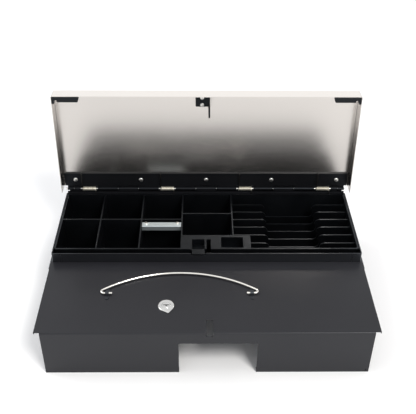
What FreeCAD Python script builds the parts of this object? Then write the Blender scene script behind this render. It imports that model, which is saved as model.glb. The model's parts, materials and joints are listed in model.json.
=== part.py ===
import FreeCAD, Part
import math
import os

V = FreeCAD.Vector
X_AXIS = V(1, 0, 0)
Y_AXIS = V(0, 1, 0)
Z_AXIS = V(0, 0, 1)

# Frame: X to the right, Y to the rear, Z up. The pieces are drawn with the table at Z 0 and are
# written with the origin on the underside of the base, at the centre of its four fixing holes.
# All lengths are in millimetres and all angles in degrees.

# Housing
body_width = 460.0
body_depth = 175.0
foot_height = 3.0
sheet = 1.2
body_bend = 2.5
ledge_top = 74.5
rim_top = 91.5
rim_width = 452.0
rim_front = -73.0
seam_x = 212.5
fixing_x = 190.0
fixing_y = 50.0
fixing_radius = 2.6
foot_x = 205.0
foot_y = 66.0
foot_radius = 8.0
foot_bevel = 0.8
rest_x = 150.0
rest_length = 110.0
guard_half = 222.0
guard_rise = 3.8
stop_x = 126.0
stop_half = 16.0
stop_rise = 6.0

# Hinge line at the rear
hinge_y = 82.3
hinge_z = 98.1
rod_radius = 1.25
knuckle_bore = 1.3
knuckle_radius = 2.4
rivet_z = 86.0
rail_reach = 28.0
rail_screw_places = (-210.0, -105.0, 0.0, 105.0, 210.0)
rail_screw_reach = 16.0
spring_places = (-189.0, -63.0, 63.0, 189.0)
spring_gap = 27.0
spring_coil = 21.0
spring_turns = 6
wire_radius = 0.8

# Flip lid, drawn closed and then opened about the hinge line
lid_width = 460.0
lid_top = 101.5
lid_sheet = 1.0
lid_flange = 24.0
lid_overhang = 4.4
lid_bend = 1.6
open_angle = 94.0
bumper_lip = 1.2
bumper_height = 8.0
striker_left = -16.8
striker_right = 4.9
striker_front = -82.0
striker_rear = -64.0
striker_height = 7.0
striker_screw_x = -7.0
prong_x = 3.65
prong_thick = 2.5
prong_front = -68.4
prong_rear = -57.0
prong_tip = 66.0

# Insert tray
tray_width = 448.0
tray_front = -62.5
tray_rear = 76.6
tray_bottom = 18.0
tray_wall = 2.4
divider = 2.0
column_lines = (-163.0, -100.2, -37.8, 39.6)
coin_row = 9.2
wide_row = 24.0
ledge_back = -31.0
cup_scoop = 10.0
note_count = 7
note_wall = 1.8
note_high = 85.2
note_low = 61.4
dip_left = 86.0
dip_right = 177.0
dip_bend = 13.0

# Catch bar in the third column
bar_front = -6.7
bar_rear = 3.1
bar_sheet = 1.2
bar_top = 90.0
bar_leg = 8.0
bar_boss = 12.0
bar_screw_y = 0.4
bar_screw_inset = 6.4

# Latch place in the tray's front
latch_left = -37.8
latch_right = 65.0
latch_skin = 79.0
latch_rear = -40.0
slot_left = -0.55
slot_right = 5.7
tongue_left = -22.0
tongue_right = -3.4
tongue_top = 90.3
ramp_low = 80.6
recess_left = 21.0
recess_right = 54.0
recess_front = -59.6
recess_rear = -35.0
recess_floor = 73.0
recess_wall = 1.5

# The one moulded tray is written as three touching pieces, divided inside its walls, as the cover's
# one sheet is below its bend
bridge_left = -37.3
bridge_rear = -31.5

# Latch, solenoid and switch
frame_left = -34.0
frame_right = 60.0
frame_front = -68.0
frame_top = 70.0
frame_sheet = 2.0
latch_plate_y = -46.0
latch_screw_places = (-26.0, 52.0)
latch_screw_y = -56.0
hook_x = 10.0
hook_y = -63.0
hook_z = 44.0
hook_nose_low = 71.0
hook_release = 10.64
plunger_z = 58.0
plunger_end = 48.0
plunger_stroke = 2.6
plunger_coil = 5.2
solenoid_left = 31.0
solenoid_right = 59.0
solenoid_half = 8.0
switch_left = -26.0
switch_low = 50.0
lever_z = 61.2
lever_rise = 8.0

# Cable socket in the rear wall
socket_x = 180.0
socket_z = 11.75
socket_half = 6.1

# Locking cover, standing in front of the housing
cover_width = 456.6
cover_sheet = 1.0
cover_top = 76.0
cover_front = -215.2
cover_rear = -73.4
apron_width = 441.0
apron_cut_left = -38.9
apron_cut_right = 66.5
apron_cut_height = 56.5
cover_flange = 3.0
cover_flange_length = 126.0
cover_bend = 2.0

# Bail handle and lock on the cover
bail_wire = 1.6
bail_y = cover_front + 73.5
bail_z = cover_top + 2.6
bail_middle = -38.6
bail_reach = 41.1
lug_offset = 100.4
lug_foot = 7.5
lock_x = -56.4
lock_y = cover_front + 49.8
lock_bezel_radius = 11.2
lock_barrel_radius = 9.5
lock_barrel_length = 16.0
lock_plug_radius = 6.0
cam_reach = 26.0

# Worked out from the values above
half_width = body_width / 2
body_front = -body_depth / 2
body_rear = body_depth / 2
base_top = foot_height + sheet
rim_half = rim_width / 2
rim_inner = rim_half - sheet
hinge_wall_rear = hinge_y - knuckle_radius
hinge_wall_front = hinge_wall_rear - sheet
leaf = knuckle_radius - knuckle_bore
rail_screw_y = hinge_y - rail_screw_reach
coil_radius = rod_radius + 0.4 + wire_radius
lid_rear = hinge_y - lid_overhang
lid_under = lid_top - lid_sheet
tray_half = tray_width / 2
tray_floor = tray_bottom + 2.0
cover_under = cover_top - cover_sheet


def box(x0, x1, y0, y1, z0, z1):
    """A block between two corners."""
    return Part.makeBox(x1 - x0, y1 - y0, z1 - z0, V(x0, y0, z0))


def rod(start, end, radius):
    """A round bar from one point to another."""
    way = end.sub(start)
    return Part.makeCylinder(radius, way.Length, start, way)


def prism(points, way):
    """A polygon pushed along a vector."""
    wire = Part.makePolygon(points + [points[0]])
    return Part.Face(wire).extrude(way)


def edges_where(shape, test):
    """The edges whose middle point and direction pass a test."""
    chosen = []
    for edge in shape.Edges:
        middle = edge.valueAt((edge.FirstParameter + edge.LastParameter) / 2)
        ends = edge.Vertexes
        way = ends[-1].Point.sub(ends[0].Point)
        if way.Length > 1e-6 and test(middle, way.normalize()):
            chosen.append(edge)
    return chosen


def upright(middle, way):
    """True for an edge that runs up and down."""
    return abs(way.z) > 0.99


def joined(shapes):
    """One clean solid from touching or overlapping shapes."""
    result = shapes[0]
    if len(shapes) > 1:
        result = result.fuse(shapes[1:])
    return result.removeSplitter()


def turned(shape, centre, way, angle):
    """A copy turned about a line."""
    copy = shape.copy()
    copy.rotate(centre, way, angle)
    return copy


def opened(shape):
    """A copy of a part of the closed lid, swung to the open position."""
    return turned(shape, V(0, hinge_y, hinge_z), X_AXIS, -open_angle)


def save(name, shapes):
    """Write one node as a STEP file in the part's frame; several solids make one group."""
    if isinstance(shapes, list):
        shapes = Part.makeCompound(shapes)
    shapes.translate(V(0, 0, -foot_height))
    shapes.exportStep("parts/" + name + ".step")
    return shapes


def rounded_block(x0, x1, y0, y1, z0, z1, corner, low):
    """A block with rounded upright corners and a rounded lower edge."""
    block = box(x0, x1, y0, y1, z0, z1)
    block = block.makeFillet(corner, edges_where(block, upright))
    if low > 0:
        lower = edges_where(block, lambda m, w: abs(m.z - z0) < 0.01)
        block = block.makeFillet(low, lower)
    return block


def pan_head(centre, way, radius, height, shank, length):
    """A screw head with a bevelled rim on a plain shank; the centre lies under the head."""
    up = V(way).normalize()
    bevel = height * 0.45
    low = Part.makeCylinder(radius, height - bevel, centre, up)
    high = Part.makeCone(radius, radius - bevel, bevel, centre.add(V(up).multiply(height - bevel)), up)
    body = Part.makeCylinder(shank, length, centre, V(up).multiply(-1))
    return joined([low, high, body])


def is_far(edge, centre, up, height):
    """True for the round edge at the top of a head."""
    if edge.Curve.TypeId != "Part::GeomCircle":
        return False
    return abs(edge.Curve.Center.sub(centre).dot(up) - height) < 1e-6


# Housing

def housing_tub():
    """Folded steel tub: base, lower walls and the ledge that the closed lid stands over."""
    outer = rounded_block(-half_width, half_width, body_front, body_rear,
                          foot_height, ledge_top, 3.0, body_bend)
    inner = rounded_block(-half_width + sheet, half_width - sheet, body_front + sheet, body_rear - sheet,
                          base_top, ledge_top - sheet, 3.0 - sheet, body_bend - sheet)
    mouth = box(-rim_half, rim_half, rim_front, hinge_wall_rear, ledge_top - 5, ledge_top + 5)
    tub = outer.cut(inner).cut(mouth)
    top = edges_where(tub, lambda m, w: abs(m.z - ledge_top) < 0.01 and is_outer(m))
    tub = tub.makeFillet(0.8, top)
    cuts = [Part.makeCylinder(fixing_radius, 10, V(x, y, 0)) for x, y in fixing_holes()]
    cuts.append(socket_window())
    return joined([tub.cut(cuts)] + hinge_guard())


def is_outer(point):
    """True for a point on the outline of the lower body."""
    side = abs(abs(point.x) - half_width) < 3.1
    end = point.y < body_front + 3.1 or point.y > body_rear - 3.1
    return side or end


def fixing_holes():
    """Places of the four screw holes in the base."""
    return [(x, y) for x in (-fixing_x, fixing_x) for y in (-fixing_y, fixing_y)]


def hinge_guard():
    """The rear wall carried up behind the hinge, with two tabs that catch the open lid."""
    spans = [(-guard_half, guard_half, guard_rise)]
    for x in (-stop_x, stop_x):
        spans.append((x - stop_half, x + stop_half, stop_rise))
    walls = []
    for left, right, rise in spans:
        wall = box(left, right, body_rear - sheet, body_rear, ledge_top - 10, hinge_z + rise)
        top = edges_where(wall, lambda m, w: abs(w.y) > 0.99 and m.z > hinge_z)
        walls.append(wall.makeFillet(3.0, top))
    return walls


def socket_window():
    """The opening in the rear wall for the cable socket."""
    return box(socket_x - 6.6, socket_x + 6.6, body_rear - 5, body_rear + 5, socket_z - 5.6, socket_z + 5.6)


def rim_front_strip():
    """Folded strip of the front upper wall, welded under the ledge."""
    reach = seam_x - 0.4
    web = box(-reach, reach, rim_front, rim_front + sheet, ledge_top - 2 * sheet, rim_top)
    foot = box(-reach, reach, rim_front - 10, rim_front, ledge_top - 2 * sheet, ledge_top - sheet)
    strip = joined([web, foot])
    bend = edges_where(strip, lambda m, w: abs(w.x) > 0.99 and abs(m.y - rim_front - sheet) < 0.01
                       and m.z < ledge_top)
    strip = strip.makeFillet(1.0, bend)
    tongue_seat = box(tongue_left - 1.2, tongue_right + 1.2, rim_front - 1, rim_front + 3,
                      rim_top - 3.4, rim_top + 1)
    return strip.cut(tongue_seat)


def rim_side_strip(side):
    """Folded strip of a side upper wall; it turns the front corner and butts the front strip."""
    low = ledge_top - 2 * sheet
    outer = box(-rim_half, rim_half, rim_front, hinge_wall_rear, low, rim_top)
    inner = box(-rim_inner, rim_inner, rim_front + sheet, hinge_wall_rear + 1, low - 1, rim_top + 1)
    front_corners = edges_where(outer, lambda m, w: abs(w.z) > 0.99 and m.y < 0)
    outer = outer.makeFillet(1.5, front_corners)
    inner_corners = edges_where(inner, lambda m, w: abs(w.z) > 0.99 and m.y < 0)
    inner = inner.makeFillet(0.3, inner_corners)
    wall = outer.cut(inner)
    edges = sorted((side * seam_x, side * (half_width + 5)))
    strip = wall.common(box(edges[0], edges[1], rim_front - 5, hinge_wall_front - 0.2, 0, 200))
    across = sorted((side * rim_half, side * (half_width - sheet - 0.6)))
    foot = box(across[0], across[1], rim_front + 8, hinge_wall_front - 8, low, ledge_top - sheet)
    return joined([strip, foot])


def hinge_wall():
    """Folded rear upper wall that carries the fixed hinge leaf."""
    top = hinge_z - 6.0
    low = ledge_top - 2 * sheet
    web = box(-rim_half, rim_half, hinge_wall_front, hinge_wall_rear, low, top)
    web = web.makeFillet(3.0, edges_where(web, lambda m, w: abs(w.y) > 0.99 and m.z > low + 1))
    foot = box(-rim_half, rim_half, hinge_wall_rear, body_rear - sheet - 0.6, low, ledge_top - sheet)
    return joined([web, foot])


# Hinge

def knuckle_spans():
    """Spans of the knuckles along X, with the leaf that each belongs to."""
    limits = [-rim_half + 2]
    for place in spring_places:
        limits.extend((place - spring_gap / 2, place + spring_gap / 2))
    limits.append(rim_half - 2)
    spans = []
    for start, end in zip(limits[0::2], limits[1::2]):
        count = 3 if end - start > 60 else 2
        pitch = (end - start) / count
        for index in range(count):
            moving = index % 2 == 0 if start < 150 else index % 2 == 1
            spans.append((start + index * pitch + 0.25, start + (index + 1) * pitch - 0.25, moving))
    return spans


def hinge_leaf():
    """Fixed leaf on the rear wall, with every second knuckle."""
    outer = -rim_half + 2
    plate = box(outer, -outer, hinge_wall_rear, hinge_wall_rear + leaf, ledge_top + 6, hinge_z - 3.6)
    plate = plate.makeFillet(2.5, edges_where(plate, lambda m, w: abs(w.y) > 0.99 and m.z < hinge_z - 9))
    pieces = [plate]
    bores = []
    for start, end, moving in knuckle_spans():
        if not moving:
            pieces.append(Part.makeCylinder(knuckle_radius, end - start, V(start, hinge_y, hinge_z), X_AXIS))
            pieces.append(box(start, end, hinge_wall_rear, hinge_wall_rear + leaf, hinge_z - 4.5, hinge_z))
            bores.append(Part.makeCylinder(knuckle_bore, end - start + 2,
                                           V(start - 1, hinge_y, hinge_z), X_AXIS))
    holes = [rod(V(x, 0, rivet_z), V(x, 100, rivet_z), 1.6) for x in rivet_places()]
    return joined(pieces).cut(bores + holes)


def rivet_places():
    """Places of the rivets of the fixed leaf along X."""
    return [-210.0, -140.0, -30.0, 30.0, 140.0, 210.0]


def hinge_rivets():
    """Low rivets through the fixed leaf."""
    rivets = []
    for x in rivet_places():
        rivets.append(pan_head(V(x, hinge_wall_rear + leaf, rivet_z), Y_AXIS, 3.0, 1.3, 1.58, leaf))
    return rivets


def hinge_rod():
    """The long pin of the hinge, with a small upset head at one end."""
    pin = rod(V(-rim_half + 1, hinge_y, hinge_z), V(rim_half - 1, hinge_y, hinge_z), rod_radius)
    head = rod(V(-rim_half, hinge_y, hinge_z), V(-rim_half + 1, hinge_y, hinge_z), 2.0)
    return joined([pin, head])


def hinge_rail():
    """Moving leaf under the lid with its knuckles and a slot for each spring arm."""
    end = lid_width / 2 - lid_sheet - 1.5
    top = lid_under
    front = hinge_y - rail_reach
    plate = box(-end, end, front, lid_rear - 0.6, top - leaf, top)
    stiffener = box(-end, end, front, front + leaf, top - 3.2, top)
    pieces = [plate, stiffener]
    bores = []
    for start, stop, moving in knuckle_spans():
        if moving:
            pieces.append(Part.makeCylinder(knuckle_radius, stop - start, V(start, hinge_y, hinge_z), X_AXIS))
            pieces.append(box(start, stop, lid_rear - 2, hinge_y, top - leaf, top))
            bores.append(Part.makeCylinder(knuckle_bore, stop - start + 2,
                                           V(start - 1, hinge_y, hinge_z), X_AXIS))
    slots = []
    for place in spring_places:
        arm = place - spring_coil / 2
        slots.append(box(arm - 1.5, arm + 1.5, front - 2, front + 2.5, top - 5, top - leaf))
    holes = [Part.makeCylinder(2.0, 20, V(x, rail_screw_y, top - 10)) for x in rail_screw_places]
    return opened(joined(pieces).cut(bores + slots + holes))


def rail_screws():
    """Five pan-head screws that hold the rail to the lid."""
    screws = []
    for x in rail_screw_places:
        screws.append(pan_head(V(x, rail_screw_y, lid_under - leaf), V(0, 0, -1), 3.4, 2.0, 1.95, leaf))
    return [opened(screw) for screw in screws]


def lid_spring(place):
    """Torsion spring round the hinge rod: a coil, an arm over the rail and an arm on the rear wall."""
    start = V(place - spring_coil / 2, hinge_y - coil_radius, hinge_z)
    hook = [start.add(V(0, 3.6, rail_reach + wire_radius + 1.0)),
            start.add(V(0, 0.2, rail_reach + wire_radius + 0.4)),
            start.add(V(0, 0, 8.0)),
            start]
    coil, end = coil_run(start, spring_coil / spring_turns, spring_turns, coil_radius)
    wall_y = hinge_wall_front - wire_radius - 0.1
    tail = [end, end.sub(V(0, 0, 0.6)), V(end.x, wall_y, hinge_z - 4.6), V(end.x, wall_y, hinge_z - 20)]
    path = Part.Wire(rounded_run(hook, 1.2) + coil + rounded_run(tail, 1.5))
    return wire_along(path, hook[0], hook[1].sub(hook[0]), wire_radius, 6)


def wire_along(path, start, way, radius, sides):
    """A wire with a many-sided section swept along a smooth path."""
    ahead = V(way).normalize()
    side = ahead.cross(X_AXIS)
    if side.Length < 0.1:
        side = ahead.cross(Z_AXIS)
    side = side.normalize().multiply(radius)
    corners = []
    for index in range(sides + 1):
        corner = FreeCAD.Rotation(ahead, 360.0 * index / sides).multVec(side)
        corners.append(start.add(corner))
    return path.makePipe(Part.Face(Part.makePolygon(corners)))


def rounded_run(points, bend):
    """Straight edges through points with a round bend at each corner."""
    edges = []
    last = points[0]
    for before, corner, after in zip(points, points[1:], points[2:]):
        back = before.sub(corner).normalize()
        ahead = after.sub(corner).normalize()
        half = back.getAngle(ahead) / 2
        if half > math.pi / 2 - 0.001:
            continue
        reach = bend / math.tan(half)
        first = corner.add(V(back).multiply(reach))
        final = corner.add(V(ahead).multiply(reach))
        centre = corner.add(back.add(ahead).normalize().multiply(bend / math.sin(half)))
        middle = centre.add(corner.sub(centre).normalize().multiply(bend))
        edges.append(Part.makeLine(last, first))
        edges.append(Part.Arc(first, middle, final).toShape())
        last = final
    edges.append(Part.makeLine(last, points[-1]))
    return edges


def coil_run(start, pitch, turns, radius):
    """Half turns of a coil along X that leave and arrive upright, and the point where they end."""
    edges = []
    here = start
    for index in range(2 * turns):
        side = 1 if index % 2 == 0 else -1
        there = here.add(V(pitch / 2, side * 2 * radius, 0))
        centre = here.add(there).multiply(0.5)
        middle = centre.sub(V(0, 0, side * there.sub(here).Length / 2))
        edges.append(Part.Arc(here, middle, there).toShape())
        here = there
    return edges, here


# Flip lid

def flip_lid():
    """Stainless lid: a plate with a front flange and two side flanges."""
    half = lid_width / 2
    outer = lid_shell(half, body_front, lid_rear, lid_top, lid_bend)
    inner = lid_shell(half - lid_sheet, body_front + lid_sheet, lid_rear + 5, lid_under, lid_bend - lid_sheet)
    lid = outer.cut(inner)
    return opened(lid)


def lid_shell(half, front, rear, top, bend):
    """One skin of the lid as a solid block with bent edges on three sides."""
    block = box(-half, half, front, rear, lid_top - lid_flange, top)

    def folded(middle, way):
        at_front = abs(middle.y - front) < 0.01
        at_side = abs(abs(middle.x) - half) < 0.01
        if abs(way.z) > 0.99:
            return at_front and at_side
        return abs(middle.z - top) < 0.01 and (at_front or at_side)

    return block.makeFillet(bend, edges_where(block, folded))


def corner_bumper(side):
    """Moulded bumper in a front corner of the lid, with a lip over each flange edge."""
    half = lid_width / 2 - lid_sheet
    low = lid_top - lid_flange - bumper_lip
    front = body_front + lid_sheet
    corner = side * half
    steps = [(0, 0), (40.5, 0), (38.5, 7.8), (8.0, 7.8), (8.0, 4.6), (3.6, 4.6), (3.6, 10.4), (0, 10.4)]
    points = [V(corner - side * across, front + back, low) for across, back in steps]
    pad = prism(points, V(0, 0, bumper_height))
    return opened(pad.makeFillet(0.8, edges_where(pad, upright)))


def striker_bracket():
    """Moulded block under the lid that holds the prong."""
    block = box(striker_left, striker_right, striker_front, striker_rear,
                lid_under - striker_height, lid_under)
    block = block.makeFillet(1.5, edges_where(block, upright))
    low = edges_where(block, lambda m, w: abs(m.z - lid_under + striker_height) < 0.01)
    block = block.makeChamfer(0.8, low)
    pocket = prong_blade()
    holes = [Part.makeCylinder(1.62, 20, V(striker_screw_x, y, lid_under - 15)) for y in striker_screw_rows()]
    return opened(block.cut([pocket] + holes))


def striker_screw_rows():
    """Places of the two striker screws along Y."""
    return (striker_front + 3.2, striker_rear - 3.2)


def striker_screws():
    """Two pan-head screws of the striker bracket."""
    screws = []
    for y in striker_screw_rows():
        seat = V(striker_screw_x, y, lid_under - striker_height)
        screws.append(pan_head(seat, V(0, 0, -1), 3.0, 1.8, 1.6, striker_height))
    return [opened(screw) for screw in screws]


def prong_blade():
    """The flat blade of the prong with its foot in the bracket, its window and its chamfered tip."""
    top = lid_under
    outline = [V(0, striker_front + 2, top), V(0, prong_rear, top), V(0, prong_rear, prong_tip + 3),
               V(0, prong_rear - 3, prong_tip), V(0, prong_front + 3, prong_tip),
               V(0, prong_front, prong_tip + 3), V(0, prong_front, top - striker_height),
               V(0, striker_front + 2, top - 5.0)]
    blade = prism(outline, V(prong_thick, 0, 0))
    blade.translate(V(prong_x - prong_thick / 2, 0, 0))
    return blade


def striker_prong():
    """Steel prong that the latch hook catches by its window."""
    middle = (prong_front + prong_rear) / 2
    window = box(-10, 20, middle - 3.2, middle + 3.2, hook_nose_low - 1.2, hook_nose_low + 6.6)
    return opened(prong_blade().cut(window))


# Insert tray

def scooped_cup(x0, x1, y0, y1, floor, scoop):
    """The hollow of a cup, with a floor that curves up to the front and to the rear."""
    top = rim_top + 5
    side = V(x0, y0, top)
    lines = [Part.LineSegment(side, V(x0, y0, floor + scoop)),
             arc_corner(V(x0, y0, floor + scoop), V(x0, y0 + scoop, floor), V(x0, y0 + scoop, floor + scoop)),
             Part.LineSegment(V(x0, y0 + scoop, floor), V(x0, y1 - scoop, floor)),
             arc_corner(V(x0, y1 - scoop, floor), V(x0, y1, floor + scoop), V(x0, y1 - scoop, floor + scoop)),
             Part.LineSegment(V(x0, y1, floor + scoop), V(x0, y1, top)),
             Part.LineSegment(V(x0, y1, top), side)]
    wire = Part.Wire([line.toShape() for line in lines])
    cup = Part.Face(wire).extrude(V(x1 - x0, 0, 0))
    return cup


def arc_corner(start, end, centre):
    """A quarter circle from one point to another round a centre."""
    reach = start.sub(centre).Length
    middle = start.add(end).multiply(0.5).sub(centre).normalize().multiply(reach).add(centre)
    return Part.Arc(start, middle, end)


def coin_cups():
    """Hollows of the six coin cups and the two wide cups."""
    lines = [-tray_half + tray_wall - divider / 2] + list(column_lines)
    front = tray_front + tray_wall
    rear = tray_rear - tray_wall
    half = divider / 2
    cups = []
    for left, right in zip(lines[:3], lines[1:4]):
        cups.append(scooped_cup(left + half, right - half, front, coin_row - half, tray_floor, cup_scoop))
        cups.append(scooped_cup(left + half, right - half, coin_row + half, rear, tray_floor, cup_scoop))
    left, right = column_lines[2] + half, column_lines[3] - half
    cups.append(scooped_cup(left, right, ledge_back + half, wide_row - half, tray_floor, cup_scoop))
    cups.append(scooped_cup(left, right, wide_row + half, rear, tray_floor, cup_scoop))
    return cups


def note_hollow():
    """The long hollow for the notes, cut back round the latch place."""
    left = column_lines[3] + divider / 2
    right = tray_half - tray_wall
    front = tray_front + tray_wall
    rear = tray_rear - tray_wall
    hollow = box(left, right, front, rear, tray_floor, rim_top + 5)
    hollow = hollow.makeFillet(3.0, edges_where(hollow, upright))
    place = box(left - 5, latch_right, front - 5, ledge_back, 0, rim_top + 10)
    return hollow.cut(place)


def note_divider(y, left):
    """A wavy wall between two note slots: high at its ends and low in the middle."""
    right = tray_half - tray_wall + 0.5
    edge = note_edge(left, right)
    face = Part.Face(Part.Wire([piece.toShape() for piece in edge]))
    wall = face.extrude(V(0, note_wall, 0))
    wall.translate(V(0, y - note_wall / 2, 0))
    return wall


def note_edge(left, right):
    """Outline of a note divider in the XZ plane."""
    drop_start, drop_end = dip_left, dip_left + dip_bend
    rise_start, rise_end = dip_right - dip_bend, dip_right
    low = V(left, 0, tray_floor - 0.5)
    pieces = [Part.LineSegment(low, V(left, 0, note_high)),
              Part.LineSegment(V(left, 0, note_high), V(drop_start, 0, note_high))]
    pieces.extend(s_bend(V(drop_start, 0, note_high), V(drop_end, 0, note_low)))
    pieces.append(Part.LineSegment(V(drop_end, 0, note_low), V(rise_start, 0, note_low)))
    pieces.extend(s_bend(V(rise_start, 0, note_low), V(rise_end, 0, note_high)))
    pieces.append(Part.LineSegment(V(rise_end, 0, note_high), V(right, 0, note_high)))
    pieces.append(Part.LineSegment(V(right, 0, note_high), V(right, 0, tray_floor - 0.5)))
    pieces.append(Part.LineSegment(V(right, 0, tray_floor - 0.5), low))
    return pieces


def s_bend(start, end):
    """Two equal arcs that leave and arrive level and meet half way."""
    middle = start.add(end).multiply(0.5)
    run = middle.x - start.x
    drop = middle.z - start.z
    radius = (run * run + drop * drop) / (2 * abs(drop))
    sign = 1 if drop > 0 else -1
    half_turn = math.asin(min(1.0, run / radius)) / 2
    if abs(drop) > radius:
        half_turn = (math.pi - math.asin(run / radius)) / 2
    first_mid = V(start.x + radius * math.sin(half_turn), 0,
                  start.z + sign * radius * (1 - math.cos(half_turn)))
    last_mid = V(end.x - radius * math.sin(half_turn), 0,
                 end.z - sign * radius * (1 - math.cos(half_turn)))
    return [Part.Arc(start, first_mid, middle), Part.Arc(middle, last_mid, end)]


def latch_cuts():
    """Cuts of the latch place: the room under it, the prong slot, the release ramp and the recess."""
    front = tray_front - 1
    under = box(latch_left + divider, latch_right - divider, front, ledge_back - divider, 0, latch_skin)
    well = box(recess_left - recess_wall, recess_right + recess_wall, recess_front - recess_wall,
               ledge_back - divider, recess_floor - recess_wall, latch_skin + 1)
    slot = box(slot_left, slot_right, front, latch_rear, latch_skin - 1, rim_top + 1)
    recess = box(recess_left, recess_right, recess_front, recess_rear, recess_floor, rim_top + 1)
    recess = recess.makeFillet(1.5, edges_where(recess, upright))
    ramp_points = [V(tongue_left, latch_rear, ramp_low), V(tongue_left, latch_rear, rim_top + 1),
                   V(tongue_left, front, rim_top + 1), V(tongue_left, front, tongue_top),
                   V(tongue_left, tray_front, tongue_top)]
    ramp = prism(ramp_points, V(tongue_right - tongue_left, 0, 0))
    return [under.cut(well), slot, recess, ramp]


def tongue():
    """Tongue at the top of the ramp, which bridges the gap and lies in the notch of the front wall."""
    return box(tongue_left, tongue_right, rim_front + 0.4, tray_front + 1, tongue_top - 1.8, tongue_top)


def insert_tray():
    """Moulded tray: coin cups, wide cups, note slots with wavy dividers and the latch place."""
    body = rounded_block(-tray_half, tray_half, tray_front, tray_rear, tray_bottom, rim_top, 4.0, 1.5)
    body = body.cut(coin_cups() + [note_hollow()])
    pitch = (tray_rear - tray_front - 2 * tray_wall) / note_count
    walls = []
    for index in range(1, note_count):
        y = tray_rear - tray_wall - index * pitch
        left = latch_right - 0.5 if y < ledge_back + 1 else column_lines[3] + divider / 2 - 0.5
        walls.append(note_divider(y, left))
    posts = [bar_post(side) for side in (-1, 1)]
    tray = joined([body] + walls + posts)
    tray = tray.cut(latch_cuts())
    tray = joined([tray, tongue()])
    holes = [Part.makeCylinder(1.2, 9, V(x, bar_screw_y, bar_top - 10)) for x in bar_screw_places()]
    return tray.cut(holes)


def tray_pieces(tray):
    """The tray divided into its cups, its note bay and the bridge of the latch place."""
    ahead = tray_front - 20
    low = tray_bottom - 5
    high = rim_top + 5
    bridge_zone = box(bridge_left, latch_right, ahead, bridge_rear, low, high)
    bay_zone = box(column_lines[3], tray_half + 5, ahead, tray_rear + 5, low, high)
    rest = tray.cut(bridge_zone)
    return {"insert_tray": rest.cut(bay_zone), "tray_note_bay": rest.common(bay_zone),
            "tray_latch_bridge": tray.common(bridge_zone)}


# Catch bar in the third column

def bar_post(side):
    """Boss moulded on a column wall, under one end of the catch bar."""
    wall = column_lines[1] + divider / 2 if side < 0 else column_lines[2] - divider / 2
    edges = sorted((wall + side * 0.5, wall - side * 10.0))
    top = bar_top - bar_sheet
    return box(edges[0], edges[1], bar_front + bar_sheet + 0.4, bar_rear, top - bar_boss, top)


def bar_screw_places():
    """Places of the two bar screws along X."""
    inset = divider / 2 + bar_screw_inset
    return (column_lines[1] + inset, column_lines[2] - inset)


def catch_bar():
    """Steel angle across the column, which the lock cam of the cover hooks under."""
    left = column_lines[1] + divider / 2 + 0.3
    right = column_lines[2] - divider / 2 - 0.3
    top_leg = box(left, right, bar_front, bar_rear, bar_top - bar_sheet, bar_top)
    front_leg = box(left, right, bar_front, bar_front + bar_sheet, bar_top - bar_leg, bar_top)
    bar = joined([top_leg, front_leg])
    bend = edges_where(bar, lambda m, w: abs(w.x) > 0.99 and abs(m.y - bar_front) < 0.01
                       and abs(m.z - bar_top) < 0.01)
    bar = bar.makeFillet(1.0, bend)
    holes = [Part.makeCylinder(1.7, 10, V(x, bar_screw_y, bar_top - 5)) for x in bar_screw_places()]
    return bar.cut(holes)


def catch_bar_screws():
    """Two pan-head screws of the catch bar."""
    screws = []
    for x in bar_screw_places():
        screws.append(pan_head(V(x, bar_screw_y, bar_top), Z_AXIS, 2.7, 1.8, 1.18, 9.0))
    return screws


# Latch, solenoid and switch

def latch_frame():
    """Folded steel frame on the base that carries the hook, the solenoid and the switch."""
    rear = latch_plate_y
    foot = box(frame_left, frame_right, frame_front, rear, base_top, base_top + frame_sheet)
    web = box(frame_left, frame_right, rear, rear + frame_sheet, base_top, frame_top)
    frame = joined([foot, web])
    bend = edges_where(frame, lambda m, w: abs(w.x) > 0.99 and abs(m.y - rear - frame_sheet) < 0.01
                       and m.z < base_top + 0.1)
    frame = frame.makeFillet(1.8, bend)
    corners = edges_where(frame, lambda m, w: abs(w.y) > 0.99 and m.z > frame_top - 0.1)
    frame = frame.makeFillet(4.0, corners)
    cuts = [rod(V(hook_x, rear - 5, hook_z), V(hook_x, rear + 10, hook_z), 2.5)]
    cuts.extend(Part.makeCylinder(2.1, 20, V(x, latch_screw_y, 0)) for x in latch_screw_places)
    return frame.cut(cuts)


def latch_screws():
    """Screws that hold the latch frame to the base."""
    screws = []
    for x in latch_screw_places:
        foot = V(x, latch_screw_y, base_top + frame_sheet)
        screws.append(pan_head(foot, Z_AXIS, 3.6, 2.2, 2.0, frame_sheet))
    return screws


def latch_pivot():
    """Shouldered pin that the hook turns on."""
    rear = latch_plate_y
    pin = rod(V(hook_x, hook_y - 4.0, hook_z), V(hook_x, rear + frame_sheet + 1.0, hook_z), 2.45)
    collar = rod(V(hook_x, hook_y + 1.7, hook_z), V(hook_x, rear - 0.05, hook_z), 4.0)
    head = rod(V(hook_x, hook_y - 4.0, hook_z), V(hook_x, hook_y - 2.0, hook_z), 4.0)
    return joined([pin, collar, head])


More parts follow.
